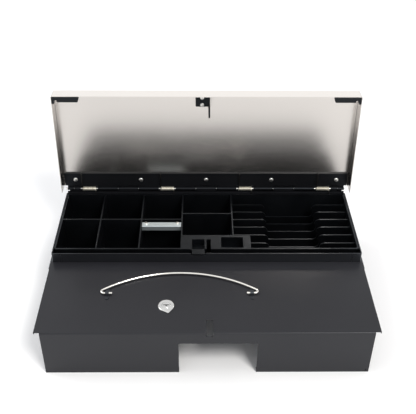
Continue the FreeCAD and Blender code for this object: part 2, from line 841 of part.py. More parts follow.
def latch_hook():
    """Flat steel hook with a sloped nose, a pivot eye and a slot for the plunger pin, drawn back."""
    nose_end = prong_x - prong_thick / 2 - 1.4
    outline = [V(nose_end, 0, hook_nose_low), V(nose_end, 0, hook_nose_low + 1.0),
               V(hook_x - 3.2, 0, hook_nose_low + 5.0), V(hook_x + 4.0, 0, hook_nose_low + 4.0),
               V(hook_x + 5.0, 0, hook_z + 22.0), V(hook_x + 5.0, 0, hook_z),
               V(hook_x - 3.0, 0, hook_z), V(hook_x - 2.2, 0, hook_nose_low)]
    blade = prism(outline, V(0, 3.0, 0))
    eye = Part.makeCylinder(6.0, 3.0, V(hook_x, 0, hook_z), Y_AXIS)
    hook = joined([blade, eye])
    hook = hook.cut(Part.makeCylinder(2.52, 10, V(hook_x, -2, hook_z), Y_AXIS))
    slot = box(hook_x - 1.0, hook_x + 2.6, -2, 5, plunger_z - 2.4, plunger_z + 2.4)
    hook = hook.cut(slot)
    hook.translate(V(0, hook_y - 1.5, 0))
    return turned(hook, V(hook_x, hook_y, hook_z), Y_AXIS, hook_release)


def solenoid_plunger():
    """Forked plunger with its cross pin, drawn in as it holds the hook back."""
    start = hook_x - 4.5
    body = rod(V(start, hook_y, plunger_z), V(plunger_end, hook_y, plunger_z), 4.0)
    fork = box(start - 1, hook_x + 11, hook_y - 2.0, hook_y + 2.0, plunger_z - 6, plunger_z + 6)
    pin = rod(V(hook_x + 0.8, hook_y - 3.9, plunger_z), V(hook_x + 0.8, hook_y + 3.9, plunger_z), 1.3)
    collar = rod(V(hook_x + 11.5, hook_y, plunger_z), V(hook_x + 13.0, hook_y, plunger_z), 6.0)
    plunger = joined([body.cut(fork), pin, collar])
    plunger.translate(V(plunger_stroke, 0, 0))
    return plunger


def plunger_spring():
    """Return spring round the plunger, between its collar and the solenoid."""
    start = V(hook_x + 13.6 + plunger_stroke, hook_y - plunger_coil, plunger_z)
    length = solenoid_left - start.x - 0.7
    turns = 3
    edges, _ = coil_run(start, length / turns, turns, plunger_coil)
    return wire_along(Part.Wire(edges), start, Z_AXIS, 0.45, 6)


def solenoid_frame():
    """Open steel frame of the solenoid."""
    left, right = solenoid_left, solenoid_right
    half = solenoid_half
    outer = box(left, right, hook_y - half, hook_y + half, plunger_z - half, plunger_z + half)
    outer = outer.makeFillet(1.5, edges_where(outer, lambda m, w: abs(w.y) > 0.99))
    inner = box(left + 1.5, right - 1.5, hook_y - half - 1, hook_y + half + 1,
                plunger_z - half + 1.5, plunger_z + half - 1.5)
    bore = rod(V(left - 1, hook_y, plunger_z), V(left + 3, hook_y, plunger_z), 4.4)
    arm = box(left + 6, right - 6, hook_y + half, latch_plate_y, plunger_z - half, plunger_z - half + 1.5)
    return joined([outer.cut([inner, bore]), arm])


def solenoid_coil():
    """Wound coil with end cheeks and the bore for the plunger."""
    left, right = solenoid_left + 1.5, solenoid_right - 1.5
    reach = solenoid_half - 1.55
    winding = rod(V(left, hook_y, plunger_z), V(right, hook_y, plunger_z), reach - 1.6)
    cheeks = [box(left, left + 1.5, hook_y - reach, hook_y + reach, plunger_z - reach, plunger_z + reach),
              box(right - 1.5, right, hook_y - reach, hook_y + reach, plunger_z - reach, plunger_z + reach)]
    bore = rod(V(left - 1, hook_y, plunger_z), V(right - 3.0, hook_y, plunger_z), 4.4)
    return joined([winding] + cheeks).cut(bore)


def lid_switch():
    """Small snap switch that feels the prong, with its three blades."""
    left = switch_left
    body = box(left, left + 20.0, hook_y - 3.2, hook_y + 3.2, switch_low, switch_low + 10.0)
    body = body.makeFillet(0.8, edges_where(body, lambda m, w: abs(w.y) > 0.99))
    mount = box(left + 1, left + 19, hook_y + 3.2, latch_plate_y, switch_low + 1, switch_low + 9)
    blades = [box(left + x, left + x + 3, hook_y - 0.3, hook_y + 0.3, switch_low - 6.0, switch_low)
              for x in (1.5, 8.5, 15.5)]
    button = rod(V(left + 12, hook_y, switch_low + 9), V(left + 12, hook_y, switch_low + 10.6), 1.0)
    lugs = [box(left, left + 3.0, hook_y + y, hook_y + y + 1.0, switch_low + 9.0, switch_low + 12.6)
            for y in (-3.2, 2.2)]
    shape = joined([body, mount, button] + lugs + blades)
    bore = rod(V(left + 1.5, hook_y - 5, lever_z), V(left + 1.5, hook_y + 5, lever_z), 0.75)
    return shape.cut(bore)


def switch_lever():
    """Sprung lever of the switch, with its pin, under the path of the prong."""
    x = switch_left + 1.5
    pin = rod(V(x, hook_y - 3.1, lever_z), V(x, hook_y + 3.1, lever_z), 0.7)
    blade = box(x - 0.8, prong_x + 2.0, hook_y - 2.0, hook_y + 2.0, lever_z - 0.4, lever_z + 0.4)
    blade = blade.makeFillet(1.0, edges_where(blade, lambda m, w: abs(w.z) > 0.99 and m.x > 0))
    return turned(joined([pin, blade]), V(x, hook_y, lever_z), Y_AXIS, -lever_rise)


# Small parts of the housing

def tray_rest(side):
    """Hat-shaped rail on the base that the tray stands on."""
    x = side * rest_x
    low, top = base_top, tray_bottom
    outline = [V(x - 22, 0, low), V(x - 22, 0, low + sheet), V(x - 12, 0, low + sheet), V(x - 12, 0, top),
               V(x + 12, 0, top), V(x + 12, 0, low + sheet), V(x + 22, 0, low + sheet), V(x + 22, 0, low),
               V(x + 12 - sheet, 0, low), V(x + 12 - sheet, 0, top - sheet),
               V(x - 12 + sheet, 0, top - sheet), V(x - 12 + sheet, 0, low)]
    rail = prism(outline, V(0, rest_length, 0))
    rail.translate(V(0, 5 - rest_length / 2, 0))
    bends = edges_where(rail, lambda m, w: abs(w.y) > 0.99 and abs(m.z - top) < 0.01)
    return rail.makeFillet(1.5, bends)


def rubber_feet():
    """Four round feet with a bevelled lower edge."""
    feet = []
    for x in (-foot_x, foot_x):
        for y in (-foot_y, foot_y):
            low = Part.makeCone(foot_radius, foot_radius + foot_bevel, foot_bevel, V(x, y, 0))
            high = Part.makeCylinder(foot_radius + foot_bevel, foot_height - foot_bevel, V(x, y, foot_bevel))
            feet.append(joined([low, high]))
    return feet


def cable_socket():
    """Modular cable socket in the rear wall, with its latch step and contact comb."""
    rear = body_rear - sheet
    deep = rear - 11
    low, high = socket_z - socket_half, socket_z + socket_half
    body = box(socket_x - 7.5, socket_x + 7.5, rear - 16, rear, low, high)
    nose = box(socket_x - 6.5, socket_x + 6.5, rear, body_rear + 0.6, socket_z - 5.5, socket_z + 5.5)
    mouth = box(socket_x - 4.9, socket_x + 4.9, deep, rear + 5, socket_z - 2.6, socket_z + 4.4)
    step = box(socket_x - 3.2, socket_x + 3.2, deep, rear + 5, socket_z - 3.9, socket_z - 2.6)
    key = box(socket_x - 1.7, socket_x + 1.7, deep, rear + 5, socket_z - 4.6, socket_z - 3.9)
    foot = box(socket_x - 7.5, socket_x + 7.5, rear - 16, rear - 3, base_top, low)
    shape = joined([body, nose, foot]).cut([mouth, step, key])
    contacts = [box(socket_x + x - 0.3, socket_x + x + 0.3, deep, rear - 3, socket_z + 3.2, socket_z + 4.6)
                for x in (-3.2, -1.9, -0.6, 0.6, 1.9, 3.2)]
    return joined([shape] + contacts)


# Locking cover

def folded_cover():
    """Folded steel cover: a plate, a front apron with the latch cut-out, and short side flanges."""
    half = cover_width / 2
    apron_half = apron_width / 2
    strip = box(-apron_half, apron_half, cover_front, cover_front + 10, cover_under, cover_top)
    apron = box(-apron_half, apron_half, cover_front, cover_front + cover_sheet, 0, cover_top)
    folded = joined([strip, apron])
    for radius, depth in ((cover_bend, 0), (cover_bend - cover_sheet, cover_sheet)):
        folded = folded.makeFillet(radius, edges_where(folded, fold_line(depth)))
    relief = cover_front + cover_bend
    pieces = [folded, box(-half, half, relief, cover_rear, cover_under, cover_top)]
    flange_end = cover_front + cover_flange_length
    for side in (-1, 1):
        edges = sorted((side * half, side * (half - cover_sheet)))
        pieces.append(box(edges[0], edges[1], relief, flange_end, cover_top - cover_flange, cover_top))
    hem = box(-apron_half + 2, apron_half - 2, cover_front + cover_sheet,
              cover_front + cover_sheet + 7.0, 0, cover_sheet)
    cut = box(apron_cut_left, apron_cut_right, cover_front - 5, cover_front + 20, -5, apron_cut_height)
    corners = edges_where(cut, lambda m, w: abs(w.y) > 0.99 and m.z > 0)
    cut = cut.makeFillet(1.5, corners)
    panel = joined(pieces + [hem])
    return panel.cut([cut, prong_opening(), lock_hole(), drain_hole()] + lug_holes())


def cover_pieces(folded):
    """The cover's sheet divided just below its bend into plate, apron and lower hem."""
    reach = apron_width / 2 + 1
    rear = cover_front + 10
    apron_zone = box(-reach, reach, cover_front - 5, rear, -5, cover_top - cover_bend)
    hem_zone = box(-reach, reach, cover_front + cover_sheet, rear, -5, 2 * cover_sheet)
    apron = folded.common(apron_zone)
    return {"cover_panel": folded.cut(apron_zone), "cover_apron": apron.cut(hem_zone),
            "cover_hem": apron.common(hem_zone)}


def fold_line(depth):
    """A test for the long edge of the cover's front bend at a depth below its skin."""
    def on_line(middle, way):
        return (abs(way.x) > 0.99 and abs(middle.y - cover_front - depth) < 0.01
                and abs(middle.z - cover_top + depth) < 0.01)
    return on_line


def prong_opening():
    """Slot that lets the prong through the cover; it runs over the front bend."""
    return box(prong_x - 5.9, prong_x + 3.5, cover_front - 5, cover_front + 24.0, cover_top - 6.5, cover_top + 5)


def drain_hole():
    """Small round hole low in the right end of the apron."""
    return rod(V(216.0, cover_front - 5, 3.9), V(216.0, cover_front + 5, 3.9), 1.3)


def lock_hole():
    """Round hole for the lock barrel."""
    return Part.makeCylinder(lock_barrel_radius + 0.05, 20, V(lock_x, lock_y, cover_top - 10))


def lug_holes():
    """Holes for the feet of the handle lugs."""
    holes = []
    for x in lug_places():
        for y in (-lug_foot, lug_foot):
            holes.append(Part.makeCylinder(1.65, 10, V(x, bail_y + y, cover_top - 5)))
    return holes


def lug_places():
    """Places of the two handle lugs along X."""
    return (bail_middle - lug_offset, bail_middle + lug_offset)


def handle_lug(x):
    """Bridge-shaped lug riveted to the cover, with the eye for the bail."""
    base = box(x - 2.5, x + 2.5, bail_y - lug_foot - 2.8, bail_y + lug_foot + 2.8,
               cover_top, cover_top + 0.9)
    base = base.makeFillet(2.0, edges_where(base, upright))
    eye = Part.makeCylinder(bail_wire + 1.45, 5.0, V(x - 2.5, bail_y, bail_z), X_AXIS)
    cheek = box(x - 2.5, x + 2.5, bail_y - bail_wire - 1.45, bail_y + bail_wire + 1.45, cover_top, bail_z)
    bore = Part.makeCylinder(bail_wire + 0.06, 10, V(x - 5, bail_y, bail_z), X_AXIS)
    shape = joined([base, eye, cheek]).cut(bore)
    shape = shape.cut(box(x - 10, x + 10, bail_y - 20, bail_y + 20, cover_top - 5, cover_top))
    rivets = [rod(V(x, bail_y + y, cover_under - 0.8), V(x, bail_y + y, cover_top + 0.5), 1.6)
              for y in (-lug_foot, lug_foot)]
    heads = [rod(V(x, bail_y + y, cover_under - 0.8), V(x, bail_y + y, cover_under), 2.6)
             for y in (-lug_foot, lug_foot)]
    return joined([shape] + rivets + heads)


def bail_handle():
    """Bright wire bail: a long shallow bow whose ends turn in through the lugs."""
    bend = 3.6
    end_left = V(bail_middle - lug_offset + 7.0, bail_y, bail_z)
    centre = V(bail_middle - lug_offset - 4.6, bail_y + bend, bail_z)
    rise, half_chord, turn = bow_shape(centre, bend)
    foot = V(centre.x, bail_y, bail_z)
    side = V(centre.x - bend, centre.y, bail_z)
    leave = V(centre.x - bend * math.cos(turn), centre.y + bend * math.sin(turn), bail_z)
    peak = V(bail_middle, leave.y + rise, bail_z)

    def across(point):
        return V(2 * bail_middle - point.x, point.y, point.z)

    pieces = [Part.LineSegment(end_left, foot), Part.Arc(foot, side, leave),
              Part.Arc(leave, peak, across(leave)), Part.Arc(across(leave), across(side), across(foot)),
              Part.LineSegment(across(foot), across(end_left))]
    path = Part.Wire([piece.toShape() for piece in pieces])
    return wire_along(path, end_left, X_AXIS, bail_wire, 12)


def bow_shape(centre, bend):
    """Height, half chord and end turn of the bow, so that it leaves each end bend smoothly."""
    turn = math.radians(50.0)
    for _ in range(60):
        leave_x = centre.x - bend * math.cos(turn)
        leave_y = centre.y + bend * math.sin(turn)
        half_chord = bail_middle - leave_x
        rise = bail_y + bail_reach - leave_y
        radius = (half_chord ** 2 + rise ** 2) / (2 * rise)
        turn = math.pi / 2 - math.asin(half_chord / radius)
    return rise, half_chord, turn


# Lock of the cover

def lock_barrel():
    """Lock body under the cover with a drop-shaped bezel on top."""
    base = cover_top
    disc = drop_outline(lock_bezel_radius, 15.0)
    bezel = disc.extrude(V(0, 0, 2.6))
    bezel.translate(V(lock_x, lock_y, base))
    top = [e for e in bezel.Edges if min(v.Point.z for v in e.Vertexes) > base + 2.5]
    bezel = bezel.makeFillet(1.2, top)
    tube = Part.makeCylinder(lock_barrel_radius, lock_barrel_length, V(lock_x, lock_y, base), V(0, 0, -1))
    bore = Part.makeCylinder(lock_plug_radius + 0.05, 60, V(lock_x, lock_y, base - 40))
    return joined([bezel, tube]).cut(bore)


def drop_outline(radius, reach):
    """A disc drawn out to a blunt point on one side, as a face."""
    point_turn = math.radians(-76.0)
    side_turn = math.acos(radius / reach)
    tip = V(reach * math.cos(point_turn), reach * math.sin(point_turn), 0)
    first = V(radius * math.cos(point_turn + side_turn), radius * math.sin(point_turn + side_turn), 0)
    last = V(radius * math.cos(point_turn - side_turn), radius * math.sin(point_turn - side_turn), 0)
    far = V(-radius * math.cos(point_turn), -radius * math.sin(point_turn), 0)
    lines = [Part.Arc(first, far, last), Part.LineSegment(last, tip), Part.LineSegment(tip, first)]
    face = Part.Face(Part.Wire([line.toShape() for line in lines]))
    return face


def lock_plug():
    """Turning core of the lock with its keyway."""
    top = cover_top + 3.0
    low = cover_top - lock_barrel_length - 3.0
    core = Part.makeCylinder(lock_plug_radius, top - low, V(lock_x, lock_y, low))
    rim = [e for e in core.Edges if is_far(e, V(lock_x, lock_y, low), Z_AXIS, top - low)]
    core = core.makeChamfer(0.6, rim)
    keyway = box(lock_x - 4.2, lock_x + 4.2, lock_y - 0.7, lock_y + 0.7, top - 14, top + 1)
    ward = box(lock_x - 0.8, lock_x + 1.6, lock_y - 1.7, lock_y + 0.7, top - 14, top + 1)
    core = core.cut([keyway, ward])
    flats = box(lock_x - 20, lock_x + 20, lock_y - 20, lock_y + 20, low - 1, low + 2.6)
    square = box(lock_x - 3.9, lock_x + 3.9, lock_y - 3.9, lock_y + 3.9, low - 1, low + 2.6)
    thread = Part.makeCylinder(1.5, 12, V(lock_x, lock_y, low - 2))
    return core.cut(flats.cut(square)).cut(thread)


def lock_cam():
    """Flat cam on the square end of the plug, drawn in its unlocked position."""
    low = cover_top - lock_barrel_length - 2.9
    hub = Part.makeCylinder(8.0, 2.0, V(lock_x, lock_y, low))
    arm = box(lock_x - cam_reach, lock_x, lock_y - 6.0, lock_y + 6.0, low, low + 2.0)
    arm = arm.makeFillet(3.0, edges_where(arm, lambda m, w: abs(w.z) > 0.99 and m.x < lock_x - 10))
    square = box(lock_x - 3.9, lock_x + 3.9, lock_y - 3.9, lock_y + 3.9, low - 1, low + 5)
    return joined([hub, arm]).cut(square)


def cam_screw():
    """Screw that holds the cam on the plug."""
    low = cover_top - lock_barrel_length - 3.0
    return pan_head(V(lock_x, lock_y, low), V(0, 0, -1), 4.6, 2.4, 1.48, 8.0)


def lock_nut():
    """Thin hexagon nut under the cover."""
    points = [V(lock_x + 13.5 * math.cos(math.radians(60 * k)),
                lock_y + 13.5 * math.sin(math.radians(60 * k)), cover_under - 3.5) for k in range(6)]
    nut = prism(points, V(0, 0, 3.5))
    dome = Part.makeCylinder(12.6, 3.5, V(lock_x, lock_y, cover_under - 3.5))
    edge = [e for e in dome.Edges if is_far(e, V(lock_x, lock_y, cover_under), V(0, 0, -1), 3.5)]
    dome = dome.makeChamfer(0.6, edge)
    bore = Part.makeCylinder(lock_barrel_radius + 0.05, 10, V(lock_x, lock_y, cover_under - 5))
    return nut.common(dome).cut(bore)


def main():
    """Build every piece and write it."""
    os.makedirs("parts", exist_ok=True)
    pieces = {
        "housing_tub": housing_tub(),
        "rim_front_strip": rim_front_strip(),
        "rim_left_strip": rim_side_strip(-1),
        "rim_right_strip": rim_side_strip(1),
        "hinge_wall": hinge_wall(),
        "hinge_leaf": hinge_leaf(),
        "hinge_rivets": hinge_rivets(),
        "hinge_rod": hinge_rod(),
        "hinge_rail": hinge_rail(),
        "rail_screws": rail_screws(),
        "flip_lid": flip_lid(),
        "corner_bumper_left": corner_bumper(-1),
        "corner_bumper_right": corner_bumper(1),
        "striker_bracket": striker_bracket(),
        "striker_screws": striker_screws(),
        "striker_prong": striker_prong(),
        "catch_bar": catch_bar(),
        "catch_bar_screws": catch_bar_screws(),
        "latch_frame": latch_frame(),
        "latch_screws": latch_screws(),
        "latch_pivot": latch_pivot(),
        "latch_hook": latch_hook(),
        "solenoid_frame": solenoid_frame(),
        "solenoid_coil": solenoid_coil(),
        "solenoid_plunger": solenoid_plunger(),
        "plunger_spring": plunger_spring(),
        "lid_switch": lid_switch(),
        "switch_lever": switch_lever(),
        "tray_rest_left": tray_rest(-1),
        "tray_rest_right": tray_rest(1),
        "rubber_feet": rubber_feet(),
        "cable_socket": cable_socket(),
        "bail_handle": bail_handle(),
        "lock_barrel": lock_barrel(),
        "lock_plug": lock_plug(),
        "lock_cam": lock_cam(),
        "cam_screw": cam_screw(),
        "lock_nut": lock_nut(),
    }
    for index, place in enumerate(spring_places):
        pieces["lid_spring_" + str(index + 1)] = lid_spring(place)
    for name, x in zip(("handle_lug_left", "handle_lug_right"), lug_places()):
        pieces[name] = handle_lug(x)
    pieces.update(tray_pieces(insert_tray()))
    pieces.update(cover_pieces(folded_cover()))
    for name, shape in pieces.items():
        saved = save(name, shape)
        print(name, len(saved.Solids), round(saved.Volume, 1), saved.isValid())


main()
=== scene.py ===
import json
import logging
import math
from dataclasses import dataclass, field
from enum import Enum
from typing import Callable, Sequence

import bmesh
import bpy
from mathutils import Matrix, Vector


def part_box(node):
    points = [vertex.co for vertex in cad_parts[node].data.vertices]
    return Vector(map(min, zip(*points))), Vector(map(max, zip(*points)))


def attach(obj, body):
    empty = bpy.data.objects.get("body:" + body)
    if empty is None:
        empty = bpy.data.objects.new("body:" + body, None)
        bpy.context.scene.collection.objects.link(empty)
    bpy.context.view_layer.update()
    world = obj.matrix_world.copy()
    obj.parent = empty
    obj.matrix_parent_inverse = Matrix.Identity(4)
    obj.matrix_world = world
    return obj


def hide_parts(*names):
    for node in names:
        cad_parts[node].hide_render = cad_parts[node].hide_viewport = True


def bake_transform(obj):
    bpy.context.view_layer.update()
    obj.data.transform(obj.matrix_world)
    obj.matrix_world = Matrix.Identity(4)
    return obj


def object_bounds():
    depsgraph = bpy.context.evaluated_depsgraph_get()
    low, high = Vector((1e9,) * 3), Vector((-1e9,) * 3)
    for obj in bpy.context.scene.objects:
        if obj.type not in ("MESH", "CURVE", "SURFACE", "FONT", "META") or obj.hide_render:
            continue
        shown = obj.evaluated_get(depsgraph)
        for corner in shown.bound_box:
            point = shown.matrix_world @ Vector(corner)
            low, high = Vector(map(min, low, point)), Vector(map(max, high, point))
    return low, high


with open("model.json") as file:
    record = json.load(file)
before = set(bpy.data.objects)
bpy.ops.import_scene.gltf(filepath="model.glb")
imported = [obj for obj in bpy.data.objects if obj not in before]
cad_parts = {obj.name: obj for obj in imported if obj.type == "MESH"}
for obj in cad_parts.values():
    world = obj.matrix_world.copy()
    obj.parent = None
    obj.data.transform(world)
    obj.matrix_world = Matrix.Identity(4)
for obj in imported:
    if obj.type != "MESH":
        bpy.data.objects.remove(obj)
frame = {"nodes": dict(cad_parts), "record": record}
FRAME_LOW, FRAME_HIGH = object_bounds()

logging.basicConfig(level=logging.INFO, format="%(message)s")
log = logging.getLogger("scene")

MM = 0.001
MERGE_REACH = 0.001 * MM
SEAM_REACH = 0.02 * MM
SMOOTH_BELOW = math.radians(35)
FLAT_BELOW = math.radians(0.6)
CORNER_ABOVE = math.radians(50)
LARGE_FACES_FIRST = 100
PHOTO_WIDTH = 416
WHITE = (1.0, 1.0, 1.0)
COOL = (0.78, 0.88, 1.0)
NEUTRAL = (0.94, 0.97, 1.0)
# Numbers of a colour mix's sockets, whose names the other kinds of mix share.
MIX_FACTOR, MIX_FIRST, MIX_SECOND = 0, 6, 7
MIX_RESULT = 2


class Grain(Enum):
    """Direction of a brushed or drawn surface."""

    ALONG_X = (0.02, 1.0, 1.0)
    ALONG_Z = (1.0, 1.0, 0.02)
    NONE = (1.0, 1.0, 1.0)


class Signal:
    """A value inside a shader tree, with ordinary arithmetic."""

    def __init__(self, recipe: "Recipe", socket: bpy.types.NodeSocket) -> None:
        self.recipe = recipe
        self.socket = socket

    def _maths(self, operation: str, first: "Signal | float",
               second: "Signal | float") -> "Signal":
        node = self.recipe.node("ShaderNodeMath", {"operation": operation},
                                {0: first, 1: second})
        return Signal(self.recipe, node.outputs[0])

    def __add__(self, other: "Signal | float") -> "Signal":
        return self._maths("ADD", self, other)

    def __radd__(self, other: "Signal | float") -> "Signal":
        return self._maths("ADD", other, self)

    def __sub__(self, other: "Signal | float") -> "Signal":
        return self._maths("SUBTRACT", self, other)

    def __rsub__(self, other: "Signal | float") -> "Signal":
        return self._maths("SUBTRACT", other, self)

    def __mul__(self, other: "Signal | float") -> "Signal":
        return self._maths("MULTIPLY", self, other)

    def __rmul__(self, other: "Signal | float") -> "Signal":
        return self._maths("MULTIPLY", other, self)

    def __truediv__(self, other: "Signal | float") -> "Signal":
        return self._maths("DIVIDE", self, other)

    def __rtruediv__(self, other: "Signal | float") -> "Signal":
        return self._maths("DIVIDE", other, self)

    def between(self, low: float, high: float) -> "Signal":
        """Returns the value stretched so that low becomes 0 and high becomes 1."""
        node = self.recipe.node("ShaderNodeMapRange", {},
                                {"Value": self, "From Min": low, "From Max": high})
        return Signal(self.recipe, node.outputs["Result"])


class Recipe:
    """Builds one procedural material."""

    def __init__(self, name: str) -> None:
        self.material = bpy.data.materials.new(name)
        self.material.use_nodes = True
        self.tree = self.material.node_tree
        self.tree.nodes.clear()
        self.shader = self.node("ShaderNodeBsdfPrincipled")
        self.node("ShaderNodeOutputMaterial", {}, {"Surface": self.shader.outputs["BSDF"]})
        self.coordinates = self.node("ShaderNodeTexCoord").outputs["Object"]

    def node(self, kind: str, settings: dict[str, object] | None = None,
             sockets: dict[str | int, object] | None = None) -> bpy.types.Node:
        """Adds a node.

        Args:
            kind: Type of the node.
            settings: Its plain properties, set first.
            sockets: Values, signals or sockets for its inputs, by name or number.

        Returns:
            The node.
        """
        node = self.tree.nodes.new(kind)
        for key, value in (settings or {}).items():
            setattr(node, key, value)
        for key, value in (sockets or {}).items():
            self.feed(node.inputs[key], value)
        return node

    def feed(self, target: bpy.types.NodeSocket, value: object) -> None:
        """Links a signal or a socket to an input, or sets a constant on it.

        Args:
            target: The input.
            value: A signal, a socket or a constant.
        """
        if isinstance(value, Signal):
            value = value.socket
        if isinstance(value, bpy.types.NodeSocket):
            self.tree.links.new(value, target)
        else:
            target.default_value = value

    def noise(self, scale: float, detail: float = 2.0, grain: Grain = Grain.NONE) -> Signal:
        """Adds noise on object coordinates.

        Args:
            scale: Cells per metre.
            detail: Octaves.
            grain: Direction in which the cells are drawn out.

        Returns:
            The noise, from 0 to 1.
        """
        mapping = self.node("ShaderNodeMapping", {},
                            {"Vector": self.coordinates, "Scale": grain.value})
        texture = self.node("ShaderNodeTexNoise", {},
                            {"Vector": mapping.outputs["Vector"], "Scale": scale,
                             "Detail": detail})
        return Signal(self, texture.outputs["Fac"])

    def blend(self, amount: Signal, first: Sequence[float], second: Sequence[float]) -> Signal:
        """Mixes two colours.

        Args:
            amount: Share of the second colour.
            first: Colour where the amount is 0.
            second: Colour where the amount is 1.

        Returns:
            The mixed colour.
        """
        mix = self.node("ShaderNodeMix", {"data_type": "RGBA"},
                        {MIX_FACTOR: amount, MIX_FIRST: (*first, 1.0),
                         MIX_SECOND: (*second, 1.0)})
        return Signal(self, mix.outputs[MIX_RESULT])

    def bump(self, height: Signal, depth: float, strength: float) -> None:
        """Feeds a relief into the shader's normal.

        Args:
            height: Height of the relief, from 0 to 1.
            depth: Depth in metres.
            strength: Share of the relief that shows.
        """
        bump = self.node("ShaderNodeBump", {},
                         {"Strength": strength, "Distance": depth, "Height": height})
        self.feed(self.shader.inputs["Normal"], bump.outputs["Normal"])

    def set(self, **values: object) -> None:
        """Sets or links shader inputs by name, with underscores for spaces."""
        for key, value in values.items():
            self.feed(self.shader.inputs[key.replace("_", " ")], value)


@dataclass(frozen=True)
class PowderCoat:
    """Satin powder coat on sheet steel: orange peel, fine specks and hand marks."""

    name: str
    dark: Sequence[float]
    light: Sequence[float]
    roughness: float = 0.38
    coat: float = 0.25
    gloss: float = 0.5
    tint: Sequence[float] = COOL

    def build(self) -> bpy.types.Material:
        """Returns the material."""
        recipe = Recipe(self.name)
        peel = recipe.noise(scale=900.0, detail=3.0)
        cloud = recipe.noise(scale=14.0, detail=4.0)
        speck = recipe.noise(scale=2600.0, detail=1.0).between(low=0.45, high=0.75)
        recipe.set(Base_Color=recipe.blend(cloud * 0.6 + speck * 0.4, self.dark, self.light),
                   Roughness=cloud * 0.14 + (self.roughness - 0.07),
                   Coat_Weight=self.coat, Coat_Roughness=0.18,
                   Specular_IOR_Level=self.gloss, Specular_Tint=(*self.tint, 1.0))
        recipe.bump(peel, depth=0.06 * MM, strength=0.5)
        return recipe.material


@dataclass(frozen=True)
class BrushedSteel:
    """Brushed or drawn steel with long fine lines and faint wiping marks."""

    name: str
    dark: Sequence[float]
    light: Sequence[float]
    roughness: float = 0.28
    grain: Grain = Grain.ALONG_X
    lines: float = 2400.0
    relief: float = 0.35
    wiping: float = 1.0
    metal: float = 1.0

    def build(self) -> bpy.types.Material:
        """Returns the material."""
        recipe = Recipe(self.name)
        lines = recipe.noise(self.lines, detail=3.0, grain=self.grain)
        smear = recipe.noise(scale=9.0, detail=3.0)
        print_marks = recipe.noise(scale=60.0, detail=4.0).between(low=0.52, high=0.8)
        recipe.set(Base_Color=recipe.blend(lines * 0.7 + smear * 0.3, self.dark, self.light),
                   Metallic=self.metal,
                   Roughness=lines * 0.1 + (smear * 0.08 + print_marks * 0.05) * self.wiping
                   + (self.roughness - 0.1))
        recipe.bump(lines, depth=0.01 * MM, strength=self.relief)
        return recipe.material


@dataclass(frozen=True)
class Plating:
    """Bright plating with faint waves and dulled patches."""

    name: str
    dark: Sequence[float]
    light: Sequence[float]
    roughness: float = 0.12

    def build(self) -> bpy.types.Material:
        """Returns the material."""
        recipe = Recipe(self.name)
        patch = recipe.noise(scale=160.0, detail=3.0)
        pits = recipe.noise(scale=1500.0, detail=2.0)
        recipe.set(Base_Color=recipe.blend(patch, self.dark, self.light), Metallic=1.0,
                   Roughness=patch * 0.1 + (self.roughness - 0.04))
        recipe.bump(pits, depth=0.015 * MM, strength=0.3)
        return recipe.material


@dataclass(frozen=True)
class CoilWire:
    """Spring wire with a painted highlight on its coil and painted shade on its arms.

    Args:
        name: Name of the material.
        arm: Painted shade colour of the arms above and below the coil.
        coil: Painted highlight colour of the coil.
        middle: Height of the coil's middle in metres.
        front: Where the coil begins, from front to back, in metres.
        reach: Half the height of the painted highlight zone in metres.
        edge: Width of the change between the two colours in metres.
    """

    name: str
    arm: Sequence[float]
    coil: Sequence[float]
    middle: float
    front: float
    reach: float = 3.3 * MM
    edge: float = 0.6 * MM

    def build(self) -> bpy.types.Material:
        """Returns the material."""
        recipe = Recipe(self.name)
        split = recipe.node("ShaderNodeSeparateXYZ", {}, {"Vector": recipe.coordinates})
        height = Signal(recipe, split.outputs["Z"])
        top, low = self.middle + self.reach, self.middle - self.reach
        behind = Signal(recipe, split.outputs["Y"]).between(self.front - self.edge, self.front)
        # Painted highlight band at the coil's height and behind its front; the arms outside it
        # get painted shade.
        lit_band = (height.between(top + self.edge, top)
                * height.between(low - self.edge, low) * behind)
        pits = recipe.noise(scale=1500.0, detail=2.0)
        recipe.set(Base_Color=recipe.blend(lit_band, self.arm, self.coil), Metallic=0.65,
                   Roughness=pits * 0.1 + 0.26)
        recipe.bump(pits, depth=0.015 * MM, strength=0.3)
        return recipe.material


@dataclass(frozen=True)
class Moulding:
    """Injection-moulded plastic with a spark-eroded texture and slight scuffs."""

    name: str
    dark: Sequence[float]
    light: Sequence[float]
    roughness: float = 0.5
    texture: float = 1400.0
    gloss: float = 0.45
    tint: Sequence[float] = COOL

    def build(self) -> bpy.types.Material:
        """Returns the material."""
        recipe = Recipe(self.name)
        grain = recipe.noise(self.texture, detail=2.0)
        scuff = recipe.noise(scale=30.0, detail=5.0).between(low=0.35, high=0.75)
        recipe.set(Base_Color=recipe.blend(scuff * 0.5 + grain * 0.5, self.dark, self.light),
                   Roughness=scuff * 0.12 + (self.roughness - 0.06),
                   Specular_IOR_Level=self.gloss, Specular_Tint=(*self.tint, 1.0))
        recipe.bump(grain, depth=0.08 * MM, strength=0.45)
        return recipe.material


@dataclass(frozen=True)
class Winding:
    """Taped copper winding with one band per turn."""

    name: str
    dark: Sequence[float] = (0.2, 0.06, 0.02)
    light: Sequence[float] = (0.62, 0.26, 0.1)

    def build(self) -> bpy.types.Material:
        """Returns the material."""
        recipe = Recipe(self.name)
        wave = recipe.node("ShaderNodeTexWave", {"bands_direction": "X"},
                           {"Vector": recipe.coordinates, "Scale": 420.0, "Distortion": 0.6})
        bands = Signal(recipe, wave.outputs["Fac"])
        recipe.set(Base_Color=recipe.blend(bands, self.dark, self.light),
                   Roughness=bands * 0.1 + 0.3, Coat_Weight=0.6)
        recipe.bump(bands, depth=0.1 * MM, strength=0.6)
        return recipe.material


